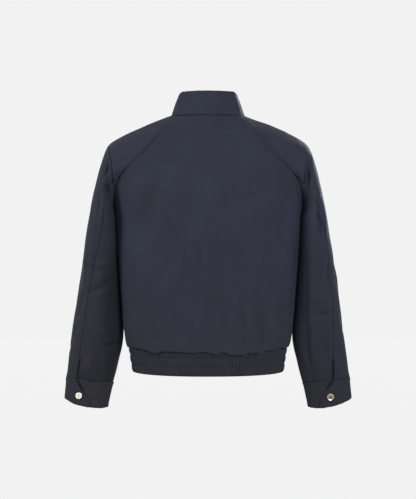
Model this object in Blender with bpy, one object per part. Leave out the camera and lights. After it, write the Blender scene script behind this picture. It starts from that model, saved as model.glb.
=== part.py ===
# Bomber jacket: raglan blouson with a stand collar, gathered waistband and snapped cuffs.
# It is filled out with no wearer in it. Metres, +Z up, front towards -Y, wearer's left towards +X.
# The origin is the middle of the neck opening, where the wearer's neck and shoulders hold it.

import math
from collections import namedtuple

import bmesh
import bpy
import numpy as np
from mathutils import Matrix, Vector

MM = 0.001

# Cloth and seams
CLOTH = 1.6 * MM            # one layer of shell cloth with its seam allowances
DOUBLE_CLOTH = 2.2 * MM     # collar, cuffs and waistband are folded double
SEAM_GAP = 0.3 * MM         # two pieces at a seam stand this far apart
SIDE_Y = -5 * MM            # the side seams hang at this depth
FRONT_EDGE = 4 * MM         # each front stops this far from the centre, beside the zip chain

# Columns of faces across each piece
BACK_COLUMNS = 20
FRONT_COLUMNS = 9
NECK_COLUMNS = 4            # across the sleeve's short edge at the neck
COLLAR_ROWS = 4

# How square a level of the body is: 2 is an ellipse, more is fuller at the corners
NECK_SQUARE = 2.0
BODY_SQUARE = 3.0

# Back above the underarm, one row for each level: centre back and raglan seam
BackRow = namedtuple("BackRow", "centreZ centreY seamX seamY seamZ square")
BACK_ROWS = [
    BackRow(-4, 70, 80, 38, -3, NECK_SQUARE),
    BackRow(-39, 86, 107, 66, -38, 2.1),
    BackRow(-62, 94, 126, 77, -61, 2.2),
    BackRow(-85, 101, 147, 83, -85, 2.3),
    BackRow(-110, 106, 171, 85, -111, 2.4),
    BackRow(-133, 110, 194, 81, -134, 2.5),
    BackRow(-157, 114, 213, 69, -157, 2.6),
    BackRow(-181, 117, 224, 56, -181, 2.8),
    BackRow(-206, 119, 228, 35, -206, BODY_SQUARE),
    BackRow(-232, 121, 226, -5, -232, BODY_SQUARE),
]

# Fronts above the underarm: centre front and raglan seam
FrontRow = namedtuple("FrontRow", "centreZ centreY seamX seamY seamZ square")
FRONT_ROWS = [
    FrontRow(-62, -80, 70, -46, -21, NECK_SQUARE),
    FrontRow(-82, -91, 96, -69, -50, 2.1),
    FrontRow(-104, -101, 122, -82, -80, 2.2),
    FrontRow(-127, -109, 149, -88, -108, 2.35),
    FrontRow(-150, -115, 176, -87, -135, 2.5),
    FrontRow(-172, -120, 199, -78, -160, 2.6),
    FrontRow(-192, -124, 215, -62, -185, 2.7),
    FrontRow(-212, -127, 225, -37, -208, BODY_SQUARE),
    FrontRow(-232, -129, 226, -5, -232, BODY_SQUARE),
]

# Body from the underarm to the waistband: half width, depth at the back and at the front
BodyRow = namedtuple("BodyRow", "z halfWidth backY frontY square")
BODY_ROWS = [
    BodyRow(-243, 223.5, 122, -130, BODY_SQUARE),
    BodyRow(-262, 222.5, 122.5, -130, BODY_SQUARE),
    BodyRow(-300, 220.5, 123, -130, BODY_SQUARE),
    BodyRow(-345, 218.0, 123, -129, BODY_SQUARE),
    BodyRow(-390, 215.0, 123, -128, BODY_SQUARE),
    BodyRow(-435, 212.0, 123, -126, 2.9),
    BodyRow(-475, 209.0, 123, -125, 2.8),
    BodyRow(-510, 206.0, 123, -124, 2.7),
    BodyRow(-538, 203.0, 122.5, -122, 2.6),
    BodyRow(-554, 200.5, 121.5, -120.5, 2.5),
    BodyRow(-563, 196.5, 119.5, -118.5, 2.4),
    BodyRow(-566, 191.5, 115.5, -115, 2.4),
]

# Sleeve outline seen from the back: where its inner and outer edges hang, and how deep it is.
# The tilt is how much a ring round the sleeve rises towards its outer edge.
SleeveLevel = namedtuple("SleeveLevel", "z inner outer middleY halfDepth seamAngle tilt")
SLEEVE_LEVELS = [
    SleeveLevel(-225, 228.0, 284.5, 2, 95, 106, 0.21),
    SleeveLevel(-265, 225.2, 292.5, 1, 93, 102, 0.21),
    SleeveLevel(-323, 221.2, 303.0, -2, 86, 90, 0.21),
    SleeveLevel(-382, 217.3, 311.5, -6, 78, 78, 0.21),
    SleeveLevel(-441, 213.6, 320.5, -10, 70, 69, 0.21),
    SleeveLevel(-500, 209.2, 329.0, -14, 61, 63, 0.20),
    SleeveLevel(-549, 206.5, 336.0, -17, 52, 60, 0.18),
    SleeveLevel(-608, 221.0, 344.0, -20, 39, 60, 0.14),
    SleeveLevel(-634, 227.5, 347.5, -21, 30, 60, 0.11),
    SleeveLevel(-648, 232.0, 350.0, -21, 25.5, 60, 0.105),
    SleeveLevel(-681, 239.5, 353.5, -22, 22.5, 60, 0.17),
    SleeveLevel(-715, 246.5, 355.5, -23, 21.5, 60, 0.22),
]
# The right sleeve hangs turned outwards below the elbow: its back seam lies elsewhere round it.
RightSeam = namedtuple("RightSeam", "z seamAngle")
RIGHT_SEAM = [
    RightSeam(-225, 82),
    RightSeam(-250, 73),
    RightSeam(-284, 63),
    RightSeam(-340, 55),
    RightSeam(-400, 51),
    RightSeam(-460, 52),
    RightSeam(-520, 58),
    RightSeam(-588, 67),
    RightSeam(-634, 74),
    RightSeam(-648, 76),
    RightSeam(-715, 79),
]
SLEEVE_SQUARE = 2.3
RING_MIDDLES = (-250, -276, -308, -342, -378, -414, -450, -486, -520, -552, -584, -612, -633, -648)
CUFF_MIDDLES = (-648, -656, -670, -683, -693.5, -703.5)
CUFF_BOW = 8 * MM           # the cuff's lower edge dips this much at the back and the front
UNDER_RAILS = 3             # the under-sleeve runs this many rails to each side of the underarm

# Shoulder loop that the sleeve passes through between the raglan seam and the upper arm
LOOP_TOP = (245 * MM, -74 * MM)        # x, z on the shoulder's outline
LOOP_BOTTOM = (228.5 * MM, -240 * MM)
LOOP_MIDDLE_Y = -4 * MM
LOOP_HALF_DEPTH = 82 * MM
LOOP_BULGE = 5 * MM
THROUGH_PULL = 0.5          # how strongly the cloth follows its way through the loop
LEAVE_PULL = 0.6            # how strongly it turns from the seam towards the loop
UNDERARM_HEIGHT = 232 * MM  # the underarm lies this far below the origin
FOLLOW_FROM = 0.22          # share of that height above which the sleeve carries on from the body
FOLLOW_OVER = 0.4           # and the share over which it comes to do so
NECK_WAY = (0.9, 0.0, -0.43)           # the shoulder's slope beside the neck
UNDERARM_ANGLE = 108        # the back seam's place round the sleeve at the top, in degrees
LOOP_DROP = 60 * MM         # the cloth passes the loop steeper than a straight line by this much
LOOP_STEPS = 5              # rows of faces from the seam to the loop, and from there to the arm

# Sleeve's edge at the neck, from the back raglan seam to the front one
NeckPoint = namedtuple("NeckPoint", "x y z")
NECK_EDGE = [
    NeckPoint(80, 38, -3),
    NeckPoint(87, 20, -2),
    NeckPoint(89, 0, -2.5),
    NeckPoint(84, -24, -9),
    NeckPoint(70, -46, -21),
]

# Stand collar
COLLAR_TOP_X = 0.785        # the top edge is this much narrower than the seam
COLLAR_TOP_BACK_Y = 57 * MM
COLLAR_TOP_FRONT_Y = -64 * MM
COLLAR_BOW = 1.5 * MM       # the collar stands out this much between its edges
CollarPoint = namedtuple("CollarPoint", "share z")
COLLAR_TOP = [              # height of the top edge, from the centre front to the centre back
    CollarPoint(0, -10),
    CollarPoint(0.2, 9),
    CollarPoint(0.5, 50),
    CollarPoint(0.75, 56),
    CollarPoint(1, 55),
]

# Waistband: three elastic channels, gathered all round
GATHERS = 96
GATHER_DEPTH = 0.9 * MM
CHANNEL_PUFF = 1.3 * MM
BAND_TOP = BodyRow(-566, 191.5, 115.5, -115, 2.4)
BAND_BOTTOM = BodyRow(-623.5, 183.5, 110.5, -111, 2.3)
BAND_SAG = 3 * MM           # the hem hangs lower at the centre back
BAND_LEVELS = (0, 0.17, 0.335, 0.5, 0.665, 0.83, 1)   # stitched rows lie between the puffed ones

# Cuff: its end passes over the opening and is cut slantwise
CUFF_OVERLAP = 2.6 * MM     # how far the over-lapping end stands out
OVERLAP_FADE = 0.45         # share of that left one column past the opening
TabRow = namedtuple("TabRow", "depth length")
TAB_ROWS = [
    TabRow(0, 1.5),
    TabRow(0.15, 6),
    TabRow(0.4, 18),
    TabRow(0.63, 29.5),
    TabRow(0.82, 34.5),
    TabRow(1, 32),
]
TAB_STEPS = 4
TAB_TURN = 0.6              # the longest tab turns about this far round the cuff, in radians
SNAP_RADIUS = 8.6 * MM
SNAP_STEPS = 28
SnapPoint = namedtuple("SnapPoint", "radius height")
SNAP_PROFILE = [            # a raised rim round a shallow domed middle
    SnapPoint(0, 0),
    SnapPoint(8.0, 0),
    SnapPoint(8.6, 0.66),
    SnapPoint(8.34, 1.58),
    SnapPoint(7.4, 2.2),
    SnapPoint(6.36, 1.8),
    SnapPoint(3.44, 2.1),
    SnapPoint(0, 2.2),
]
SNAP_FROM_OPENING = 12.5 * MM
SNAP_ROW = 3                # the cap sits at this level of the cuff

# Zip
CHAIN_HALF = 3.5 * MM
CHAIN_PROUD = 0.4 * MM
TAPE_EDGE = 12 * MM
TAPE_FRONT = 2.7 * MM       # the tape's outer face lies this far inside the jacket's surface
TAPE_THICKNESS = 1.0 * MM
TAPE_SLANT = 1.5 * MM       # the tape's edge lies deeper, as the collar curves away there
SLIDER_FROM_TOP = 12 * MM
SLIDER_SIZE = (8.6 * MM, 2.0 * MM, 11.5 * MM)
SLIDER_EDGE = 0.6 * MM
LUG_LENGTH = 3.4 * MM
LUG_BEYOND_PIN = 0.5 * MM
PIN_RADIUS = 0.8 * MM
LUG_THICKNESS = 1.1 * MM
EYE_RADIUS = 2.1 * MM
EYE_HOLE = 1.2 * MM
EYE_WIDTH = 3.6 * MM
PULL_LENGTH = 31 * MM
PULL_WIDTH = 6.4 * MM
PULL_THICKNESS = 1.5 * MM
PULL_CORNER = 1.8 * MM
STEM_TOP = 1.1 * MM         # the stem runs from inside the eye down to the tab
STEM_BOTTOM = 8.1 * MM
TAB_TOP = 7.5 * MM
RUNNING_GAP = 0.35 * MM

# Large folds, as soft troughs on the surface: ends (x, z), half width and depth.
# The side is +1 for the back and -1 for the front.
Fold = namedtuple("Fold", "side x0 z0 x1 z1 width depth")
FOLDS = [
    Fold(1, 122, -140, 168, -290, 26, 5.0),
    Fold(1, -128, -150, -172, -300, 24, 3.0),
    Fold(1, 20, -330, 60, -520, 30, 2.5),
    Fold(1, -70, -360, -40, -530, 28, 2.5),
    Fold(1, 150, -430, 172, -545, 20, 3.0),
    Fold(1, -150, -440, -168, -545, 20, 3.0),
    Fold(-1, 126, -160, 165, -300, 26, 4.0),
    Fold(-1, -126, -160, -165, -300, 26, 4.0),
    Fold(-1, 80, -360, 64, -530, 26, 3.0),
    Fold(-1, -80, -360, -64, -530, 26, 3.0),
    Fold(1, 262, -360, 312, -398, 15, 3.5),
    Fold(1, -262, -352, -312, -392, 15, 3.5),
    Fold(-1, 240, -372, 300, -352, 15, 4.0),
    Fold(-1, -240, -372, -300, -352, 15, 4.0),
    Fold(1, 262, -560, 322, -590, 13, 2.5),
    Fold(1, -262, -556, -322, -586, 13, 2.5),
]


def clear_scene():
    for item in list(bpy.data.objects):
        bpy.data.objects.remove(item, do_unlink=True)


def material(name, colour, roughness, metallic=0.0):
    result = bpy.data.materials.new(name)
    result.use_nodes = True
    shader = result.node_tree.nodes["Principled BSDF"]
    shader.inputs["Base Color"].default_value = (*colour, 1.0)
    shader.inputs["Roughness"].default_value = roughness
    shader.inputs["Metallic"].default_value = metallic
    result.diffuse_color = (*colour, 1.0)
    return result


def unit(vectors):
    lengths = np.linalg.norm(vectors, axis=-1, keepdims=True)
    return vectors / np.maximum(lengths, 1e-12)


# ---- Surfaces of the pieces. Rows run down, columns run clockwise seen from above. ----

Level = namedtuple("Level", "halfWidth depth seamShare centreZ seamZ square")


def level_row(level, shares):
    # A level of the body: part of a squared ellipse round the side line. A share of 1 is at the seam.
    angles = shares * math.asin(level.seamShare)
    across = np.sin(angles)
    x = level.halfWidth * across
    y = SIDE_Y + level.depth * (1 - np.abs(across) ** level.square).clip(0) ** (1 / level.square)
    z = level.centreZ + (level.seamZ - level.centreZ) * (across / level.seamShare) ** 2
    return np.stack([x, y, z], axis=1)


def seamed_level(row):
    # The level above the underarm that meets the raglan seam.
    depth = row.centreY * MM - SIDE_Y
    backwards = (row.seamY * MM - SIDE_Y) / depth
    seamShare = (1 - backwards ** row.square) ** (1 / row.square)
    return Level(row.seamX * MM / seamShare, depth, seamShare, row.centreZ * MM, row.seamZ * MM, row.square)


def round_level(row, edgeY):
    return Level(row.halfWidth * MM, edgeY * MM - SIDE_Y, 1.0, row.z * MM, row.z * MM, row.square)


def crowded(shares):
    # Columns lie closer together towards the sides, where the body turns.
    return shares * (1.25 - 0.25 * shares ** 2)


def back_surface():
    shares = crowded(np.linspace(-1, 1, BACK_COLUMNS + 1))
    levels = [seamed_level(row) for row in BACK_ROWS]
    levels += [round_level(row, row.backY) for row in BODY_ROWS]
    return np.array([level_row(level, shares) for level in levels])


def front_surface():
    # The wearer's left front, from the side to the centre.
    levels = [seamed_level(row) for row in FRONT_ROWS]
    levels += [round_level(row, row.frontY) for row in BODY_ROWS]
    rows = []
    for level in levels:
        edge = math.asin(FRONT_EDGE / level.halfWidth) / math.asin(level.seamShare)
        rows.append(level_row(level, crowded(np.linspace(1, edge, FRONT_COLUMNS + 1))))
    return np.array(rows)


def sleeve_level(z):
    # The sleeve's measures at this height, between the named levels.
    levels = SLEEVE_LEVELS[::-1]
    heights = [level.z * MM for level in levels]
    columns = {}
    for name in SleeveLevel._fields[1:]:
        scale = 1.0 if name in ("seamAngle", "tilt") else MM
        columns[name] = np.interp(z, heights, [getattr(level, name) * scale for level in levels])
    return SleeveLevel(z, **columns)


def seam_angle(z, side):
    # Where the back seam lies round the sleeve at this height, in degrees.
    rows = (SLEEVE_LEVELS if side == 1 else RIGHT_SEAM)[::-1]
    return np.interp(z, [row.z * MM for row in rows], [row.seamAngle for row in rows])


def rail_angles(seamAngle, railCount):
    # Angle of each rail round the sleeve: the underarm lies at 180 degrees, the outer edge at 0.
    # The back seam drifts outwards down the sleeve, and the rails near it follow.
    top = NECK_COLUMNS // 2 + len(BACK_ROWS) - 1
    rails = np.arange(railCount + 1)
    named = [0, UNDER_RAILS, top, railCount - UNDER_RAILS, railCount]
    start = np.interp(rails, named, [180, UNDERARM_ANGLE, 0, -106, -180])
    drift = seamAngle - UNDERARM_ANGLE
    away = np.radians(start - UNDERARM_ANGLE)
    return np.radians(start + drift * (0.5 + 0.5 * np.cos(away)) ** 1.5)


def ring_edges(middleZ):
    # The tilted ring's edges lie on the outline at their own heights.
    halfWidth = 45 * MM
    middleX = 270 * MM
    tilt = sleeve_level(middleZ).tilt
    for _ in range(6):
        inner = sleeve_level(middleZ - tilt * halfWidth).inner
        outer = sleeve_level(middleZ + tilt * halfWidth).outer
        halfWidth = (outer - inner) / 2
        middleX = (outer + inner) / 2
    return middleX, halfWidth


def squared(wave):
    return np.sign(wave) * np.abs(wave) ** (2 / SLEEVE_SQUARE)


def sleeve_ring(middleZ, angles):
    middleX, halfWidth = ring_edges(middleZ)
    level = sleeve_level(middleZ)
    across = halfWidth * squared(np.cos(angles))
    x = middleX + across
    y = level.middleY + level.halfDepth * squared(np.sin(angles))
    z = middleZ + level.tilt * across
    return np.stack([x, y, z], axis=1)


def hermite(start, startSlope, end, endSlope, share):
    cube = share ** 3
    square = share ** 2
    return (
        (2 * cube - 3 * square + 1) * start
        + (cube - 2 * square + share) * startSlope
        + (3 * square - 2 * cube) * end
        + (cube - square) * endSlope
    )


def armhole(back, front):
    # The raglan seam as a closed loop from the underarm up the back, across the neck, and down the front,
    # with the direction in which the cloth leaves the body at each point.
    backRows = len(BACK_ROWS)
    frontRows = len(FRONT_ROWS)
    backSeam = back[:backRows, -1][::-1]
    backWay = unit(back[:backRows, -1] - back[:backRows, -2])[::-1]
    frontSeam = front[:frontRows, 0]
    frontWay = unit(front[:frontRows, 0] - front[:frontRows, 1])
    neck = np.array([[p.x, p.y, p.z] for p in NECK_EDGE])[1:-1] * MM
    neckWay = np.tile(unit(np.array(NECK_WAY)), (len(neck), 1))
    loop = np.concatenate([backSeam, neck, frontSeam])
    ways = np.concatenate([backWay, neckWay, frontWay])
    return loop, ways


def shoulder_loop(angles):
    topX, topZ = LOOP_TOP
    bottomX, bottomZ = LOOP_BOTTOM
    x = (topX + bottomX) / 2 + (topX - bottomX) / 2 * np.cos(angles) + LOOP_BULGE * np.sin(angles) ** 2
    y = LOOP_MIDDLE_Y + LOOP_HALF_DEPTH * np.sin(angles)
    z = (topZ + bottomZ) / 2 + (topZ - bottomZ) / 2 * np.cos(angles)
    return np.stack([x, y, z], axis=1)


def sleeve_surface(back, front, side):
    # Either sleeve, as it would hang on the wearer's left.
    loop, ways = armhole(back, front)
    railCount = len(loop) - 1
    shoulder = shoulder_loop(rail_angles(UNDERARM_ANGLE, railCount))
    angles = rail_angles(seam_angle(RING_MIDDLES[0] * MM, side), railCount)
    firstRing = sleeve_ring(RING_MIDDLES[0] * MM, angles)
    secondRing = sleeve_ring(RING_MIDDLES[1] * MM, angles)
    down = unit(secondRing - firstRing)
    # High on the seam the sleeve carries on from the body; low on it the cloth turns down at once.
    height = loop[:, 2] / UNDERARM_HEIGHT + 1
    follow = np.clip((height - FOLLOW_FROM) / FOLLOW_OVER, 0, 1)[:, None]
    leave = unit(ways * follow + unit(shoulder - loop) * (1 - follow + LEAVE_PULL))
    through = unit(firstRing - loop + np.array([0, 0, -LOOP_DROP])) * THROUGH_PULL
    through[0] = through[-1] = (0, 0, -1)
    toLoop = np.linalg.norm(shoulder - loop, axis=1, keepdims=True)
    toArm = np.linalg.norm(firstRing - shoulder, axis=1, keepdims=True)
    rows = []
    for step in range(LOOP_STEPS):
        rows.append(hermite(loop, leave * toLoop, shoulder, through * toLoop, step / LOOP_STEPS))
    for step in range(LOOP_STEPS):
        rows.append(hermite(shoulder, through * toArm, firstRing, down * toArm, step / LOOP_STEPS))
    for middle in RING_MIDDLES:
        rows.append(sleeve_ring(middle * MM, rail_angles(seam_angle(middle * MM, side), railCount)))
    return np.array(rows)


def neck_seam(back, sleeve, front):
    # The collar's seam from the centre front on the wearer's right round the back to that on the left.
    backRows = len(BACK_ROWS)
    leftNeck = sleeve[0, backRows - 1:backRows + NECK_COLUMNS]
    leftHalf = np.concatenate([leftNeck[1:], front[0][1:]])
    rightHalf = leftHalf[::-1] * (-1, 1, 1)
    return np.concatenate([rightHalf, back[0], leftHalf])


def collar_surface(seam):
    backY = seam[:, 1].max()
    frontY = seam[:, 1].min()
    top = np.empty_like(seam)
    share = (seam[:, 1] - frontY) / (backY - frontY)
    top[:, 0] = seam[:, 0] * COLLAR_TOP_X
    top[:, 1] = COLLAR_TOP_FRONT_Y + (COLLAR_TOP_BACK_Y - COLLAR_TOP_FRONT_Y) * share
    top[:, 2] = np.interp(share, [p.share for p in COLLAR_TOP], [p.z * MM for p in COLLAR_TOP])
    ends = [0, -1]
    top[ends, 0] = seam[ends, 0]
    rows = []
    for step in range(COLLAR_ROWS + 1):
        share = step / COLLAR_ROWS
        row = top + (seam - top) * share
        bow = unit(row[:, :2]) * COLLAR_BOW * math.sin(math.pi * share)
        bow[ends] = 0
        row[:, :2] += bow
        rows.append(row)
    return np.array(rows)


def band_surface():
    # Outer points with channels and gathers, and the plain inner face, from the left front edge to the right.
    outer = []
    inner = []
    columns = GATHERS * 2
    for level in BAND_LEVELS:
        row = BodyRow(*[a + (b - a) * level for a, b in zip(BAND_TOP, BAND_BOTTOM)])
        halfWidth = row.halfWidth * MM
        edge = math.asin(FRONT_EDGE / halfWidth)
        turn = np.linspace(math.pi + edge, 3 * math.pi - edge, columns + 1)
        edgeY = np.where(np.cos(turn) > 0, row.backY, row.frontY)
        across = np.sin(turn)
        depth = (1 - np.abs(across) ** row.square).clip(0) ** (1 / row.square)
        heights = row.z * MM - BAND_SAG * level * np.clip(np.cos(turn), 0, 1)
        points = np.stack([halfWidth * across, SIDE_Y + (edgeY * MM - SIDE_Y) * depth, heights], axis=1)
        along = np.gradient(points, axis=0)
        normals = unit(np.stack([-along[:, 1], along[:, 0], np.zeros(columns + 1)], axis=1))
        normals[0] = normals[-1] = (0, -1, 0)
        puff = CHANNEL_PUFF if BAND_LEVELS.index(level) % 2 else 0.0
        wave = GATHER_DEPTH * (0.5 + 0.5 * (-1.0) ** np.arange(columns + 1))
        wave[[0, -1]] = 0
        if level in (0, 1):
            wave *= 0.5
        outer.append(points + normals * (puff + wave)[:, None])
        if level in (0, 1):
            inner.append(points - normals * DOUBLE_CLOTH)
    return np.array(outer), np.array(inner)


def cuff_surface(railCount, side):
    # From the slanted end, over the opening and once round the wrist to the under end.
    rows = []
    shares = np.linspace(1, 0, TAB_STEPS + 1)[:-1]
    for middle, tab in zip(CUFF_MIDDLES, TAB_ROWS):
        rails = rail_angles(seam_angle(middle * MM, side), railCount)
        start = rails[UNDER_RAILS]
        rate = ring_edges(middle * MM)[1] * math.sin(start + TAB_TURN / 2)
        over = start + shares * tab.length * MM / rate
        turn = np.concatenate([rails[UNDER_RAILS:], rails[1:UNDER_RAILS + 1] - 2 * math.pi])
        angles = np.concatenate([over, turn])
        points = sleeve_ring(middle * MM, angles)
        points[:, 2] -= CUFF_BOW * tab.depth * np.sin(angles) ** 2
        rows.append(points)
    points = np.array(rows)
    normals = normals_of(points, gather_normals([points]))
    level_normals(normals, 0, ring_axis(1))
    lift = np.zeros(points.shape[1])
    lift[:TAB_STEPS + 1] = CUFF_OVERLAP
    lift[TAB_STEPS + 1] = CUFF_OVERLAP * OVERLAP_FADE
    return points + normals * lift[None, :, None], normals


def ring_axis(side):
    # Square to the sleeve's last ring, where the cuff is sewn on.
    tilt = sleeve_level(RING_MIDDLES[-1] * MM).tilt
    return unit(np.array([-tilt * side, 0.0, 1.0]))


def fold_depth(point):
    # Sum of the soft troughs at a point of the body's or the sleeves' surface.
    depth = 0.0
    for fold in FOLDS:
        if (point[1] - SIDE_Y) * fold.side < 20 * MM:
            continue
        start = np.array([fold.x0, fold.z0]) * MM
        end = np.array([fold.x1, fold.z1]) * MM
        place = point[[0, 2]]
        share = np.clip(np.dot(place - start, end - start) / np.dot(end - start, end - start), 0, 1)
        away = np.linalg.norm(place - start - (end - start) * share) / (fold.width * MM)
        depth += fold.depth * MM * math.exp(-away ** 2)
    return depth


# ---- Normals shared by the pieces that meet at a seam ----

def key_of(point):
    return tuple(np.round(point * 1e6).astype(int))


def own_normals(surface):
    across = surface[:-1, 1:] - surface[1:, :-1]
    along = surface[1:, 1:] - surface[:-1, :-1]
    faces = np.cross(across, along)
    around = np.zeros_like(surface)
    for down in (slice(None, -1), slice(1, None)):
        for right in (slice(None, -1), slice(1, None)):
            around[down, right] += faces
    return unit(around)


def gather_normals(surfaces):
    # At a seam each piece counts the same, whatever the size of its faces there.
    total = {}
    for surface in surfaces:
        for point, normal in zip(surface.reshape(-1, 3), own_normals(surface).reshape(-1, 3)):
            key = key_of(point)
            total[key] = total.get(key, 0) + normal
    return total


def normals_of(surface, total):
    flat = [total[key_of(point)] for point in surface.reshape(-1, 3)]
    return unit(np.array(flat)).reshape(surface.shape)


def folded(surface, normals):
    depths = np.array([fold_depth(point) for point in surface.reshape(-1, 3)])
    return surface - normals * depths.reshape(surface.shape[:2])[..., None]


# ---- Solids ----

def pulled_in(points, normals, edges):
    # Moves each seamed edge of the piece back from the seam by half the gap, square to the wall's rim.
    # Edges: top, bottom, first, last.
    moved = points.copy()
    top, bottom, first, last = edges
    for used, line, inside in (
        (top, np.s_[0], np.s_[1]),
        (bottom, np.s_[-1], np.s_[-2]),
        (first, np.s_[:, 0], np.s_[:, 1]),
        (last, np.s_[:, -1], np.s_[:, -2]),
    ):
        if not used:
            continue
        seam = points[line]
        along = unit(np.gradient(seam, axis=0))
        across = unit(np.cross(along, normals[line]))
        inward = np.sum((points[inside] - seam) * across, axis=1, keepdims=True)
        moved[line] += across * np.sign(inward) * SEAM_GAP / 2
    return moved - points


def rim(mesh, outer, inner, turned):
    # The wall's edge, split the same way on both sides of a seam, so that the two stay clear.
    for j in range(len(outer) - 1):
        for face in ([outer[j], outer[j + 1], inner[j + 1]], [outer[j], inner[j + 1], inner[j]]):
            mesh.faces.new(face[::-1] if turned else face)


def sheet_solid(name, outer, inner, surfaceMaterial):
    # A closed wall between an outer grid and an inner grid. The inner one may have fewer rows.
    mesh = bmesh.new()
    outerPoints = [[mesh.verts.new(p) for p in row] for row in outer]
    innerPoints = [[mesh.verts.new(p) for p in row] for row in inner]
    for grid, turned in ((outerPoints, False), (innerPoints, True)):
        for i in range(len(grid) - 1):
            for j in range(len(grid[0]) - 1):
                face = [grid[i][j], grid[i][j + 1], grid[i + 1][j + 1], grid[i + 1][j]]
                mesh.faces.new(face[::-1] if turned else face)
    rim(mesh, outerPoints[0], innerPoints[0], True)
    rim(mesh, outerPoints[-1], innerPoints[-1], False)
    if len(outer) == len(inner):
        rim(mesh, [row[0] for row in outerPoints], [row[0] for row in innerPoints], False)
        rim(mesh, [row[-1] for row in outerPoints], [row[-1] for row in innerPoints], True)
    else:
        mesh.faces.new([row[0] for row in outerPoints] + [row[0] for row in innerPoints][::-1])
        mesh.faces.new([row[-1] for row in innerPoints] + [row[-1] for row in outerPoints][::-1])
    return finished(name, mesh, surfaceMaterial)


def finished(name, mesh, surfaceMaterial, smooth=True):
    data = bpy.data.meshes.new(name)
    mesh.to_mesh(data)
    mesh.free()
    data.materials.append(surfaceMaterial)
    if smooth:
        data.shade_smooth()
    item = bpy.data.objects.new(name, data)
    bpy.context.scene.collection.objects.link(item)
    return item


def cloth_piece(name, points, normals, thickness, edges, surfaceMaterial):
    shift = pulled_in(points, normals, edges)
    outer = points + shift
    inner = points - normals * thickness + shift
    return sheet_solid(name, outer, inner, surfaceMaterial)


def mirrored(grid):
    return (grid * (-1, 1, 1))[:, ::-1]


def level_normals(normals, row, axis):
    # The rim at this row is cut square to the axis, where a separate piece meets it.
    flat = normals[row] - np.outer(normals[row] @ axis, axis)
    normals[row] = unit(flat)


# ---- Metal pieces ----

def box(mesh, size, place, frame):
    made = bmesh.ops.create_cube(mesh, size=1.0)
    bmesh.ops.scale(mesh, verts=made["verts"], vec=size)
    bmesh.ops.translate(mesh, verts=made["verts"], vec=place)
    bmesh.ops.transform(mesh, verts=made["verts"], matrix=frame)
    return made["verts"]


def cylinder(mesh, radius, depth, place, frame, segments, turn):
    made = bmesh.ops.create_cone(
        mesh, cap_ends=True, segments=segments, radius1=radius, radius2=radius, depth=depth)
    bmesh.ops.rotate(mesh, verts=made["verts"], matrix=turn)
    bmesh.ops.translate(mesh, verts=made["verts"], vec=place)
    bmesh.ops.transform(mesh, verts=made["verts"], matrix=frame)
    return made["verts"]


def lathe(mesh, profile, frame, steps):
    # Spins a profile of (radius, height) pairs, which starts and ends on the axis.
    verts = [mesh.verts.new((radius, 0, height)) for radius, height in profile]
    edges = [mesh.edges.new(pair) for pair in zip(verts, verts[1:])]
    bmesh.ops.spin(
        mesh, geom=verts + edges, cent=(0, 0, 0), axis=(0, 0, 1), angle=2 * math.pi, steps=steps,
        use_merge=True)
    bmesh.ops.remove_doubles(mesh, verts=mesh.verts[:], dist=1e-6)
    bmesh.ops.recalc_face_normals(mesh, faces=mesh.faces[:])
    bmesh.ops.transform(mesh, verts=mesh.verts[:], matrix=frame)


def joined(target, tools, operation):
    for tool in tools:
        modifier = target.modifiers.new(operation.title(), "BOOLEAN")
        modifier.object = tool
        modifier.operation = operation
        modifier.solver = "EXACT"
    with bpy.context.temp_override(object=target):
        graph = bpy.context.evaluated_depsgraph_get()
        data = bpy.data.meshes.new_from_object(target.evaluated_get(graph))
    target.modifiers.clear()
    target.data = data
    for tool in tools:
        bpy.data.objects.remove(tool, do_unlink=True)


def zip_path(front, collar):
    # The centre-front line from the collar's top to the hem, as (y, z) pairs.
    line = [collar[i][-1] for i in range(COLLAR_ROWS)]
    line += [front[i][-1] for i in range(len(front) - 1)]
    line += [np.array([0, row.frontY, row.z]) * MM for row in (BAND_TOP, BAND_BOTTOM)]
    return np.array(line)[:, 1:]


def zip_half(name, side, path, zipMaterial):
    # Half the chain with its tape behind the front's edge.
    outline = [
        (SEAM_GAP / 2, -CHAIN_PROUD),
        (CHAIN_HALF, -CHAIN_PROUD),
        (CHAIN_HALF, TAPE_FRONT),
        (TAPE_EDGE, TAPE_FRONT + TAPE_SLANT),
        (TAPE_EDGE, TAPE_FRONT + TAPE_SLANT + TAPE_THICKNESS),
        (SEAM_GAP / 2, TAPE_FRONT + TAPE_THICKNESS),
    ]
    along = unit(np.gradient(path, axis=0))
    inward = np.stack([-along[:, 1], along[:, 0]], axis=1)
    inward *= np.sign(inward[:, :1])
    mesh = bmesh.new()
    rows = []
    for place, depthWay in zip(path, inward):
        row = []
        for across, depth in outline:
            y, z = place + depthWay * depth
            row.append(mesh.verts.new((side * across, y, z)))
        rows.append(row)
    count = len(outline)
    for upper, lower in zip(rows, rows[1:]):
        for j in range(count):
            mesh.faces.new([upper[j], upper[(j + 1) % count], lower[(j + 1) % count], lower[j]])
    mesh.faces.new(rows[0][::-1])
    mesh.faces.new(rows[-1])
    bmesh.ops.recalc_face_normals(mesh, faces=mesh.faces[:])
    return finished(name, mesh, zipMaterial, smooth=False)


def slider_frame(path):
    # Local axes on the zip: x across it, -y out of the jacket, z up along the chain.
    lengths = np.concatenate([[0], np.cumsum(np.linalg.norm(np.diff(path, axis=0), axis=1))])
    y = np.interp(SLIDER_FROM_TOP, lengths, path[:, 0])
    z = np.interp(SLIDER_FROM_TOP, lengths, path[:, 1])
    up = unit(path[0] - path[1])
    lean = math.atan2(-up[0], up[1])
    return Matrix.Translation((0, y, z)) @ Matrix.Rotation(lean, 4, "X")


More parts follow.
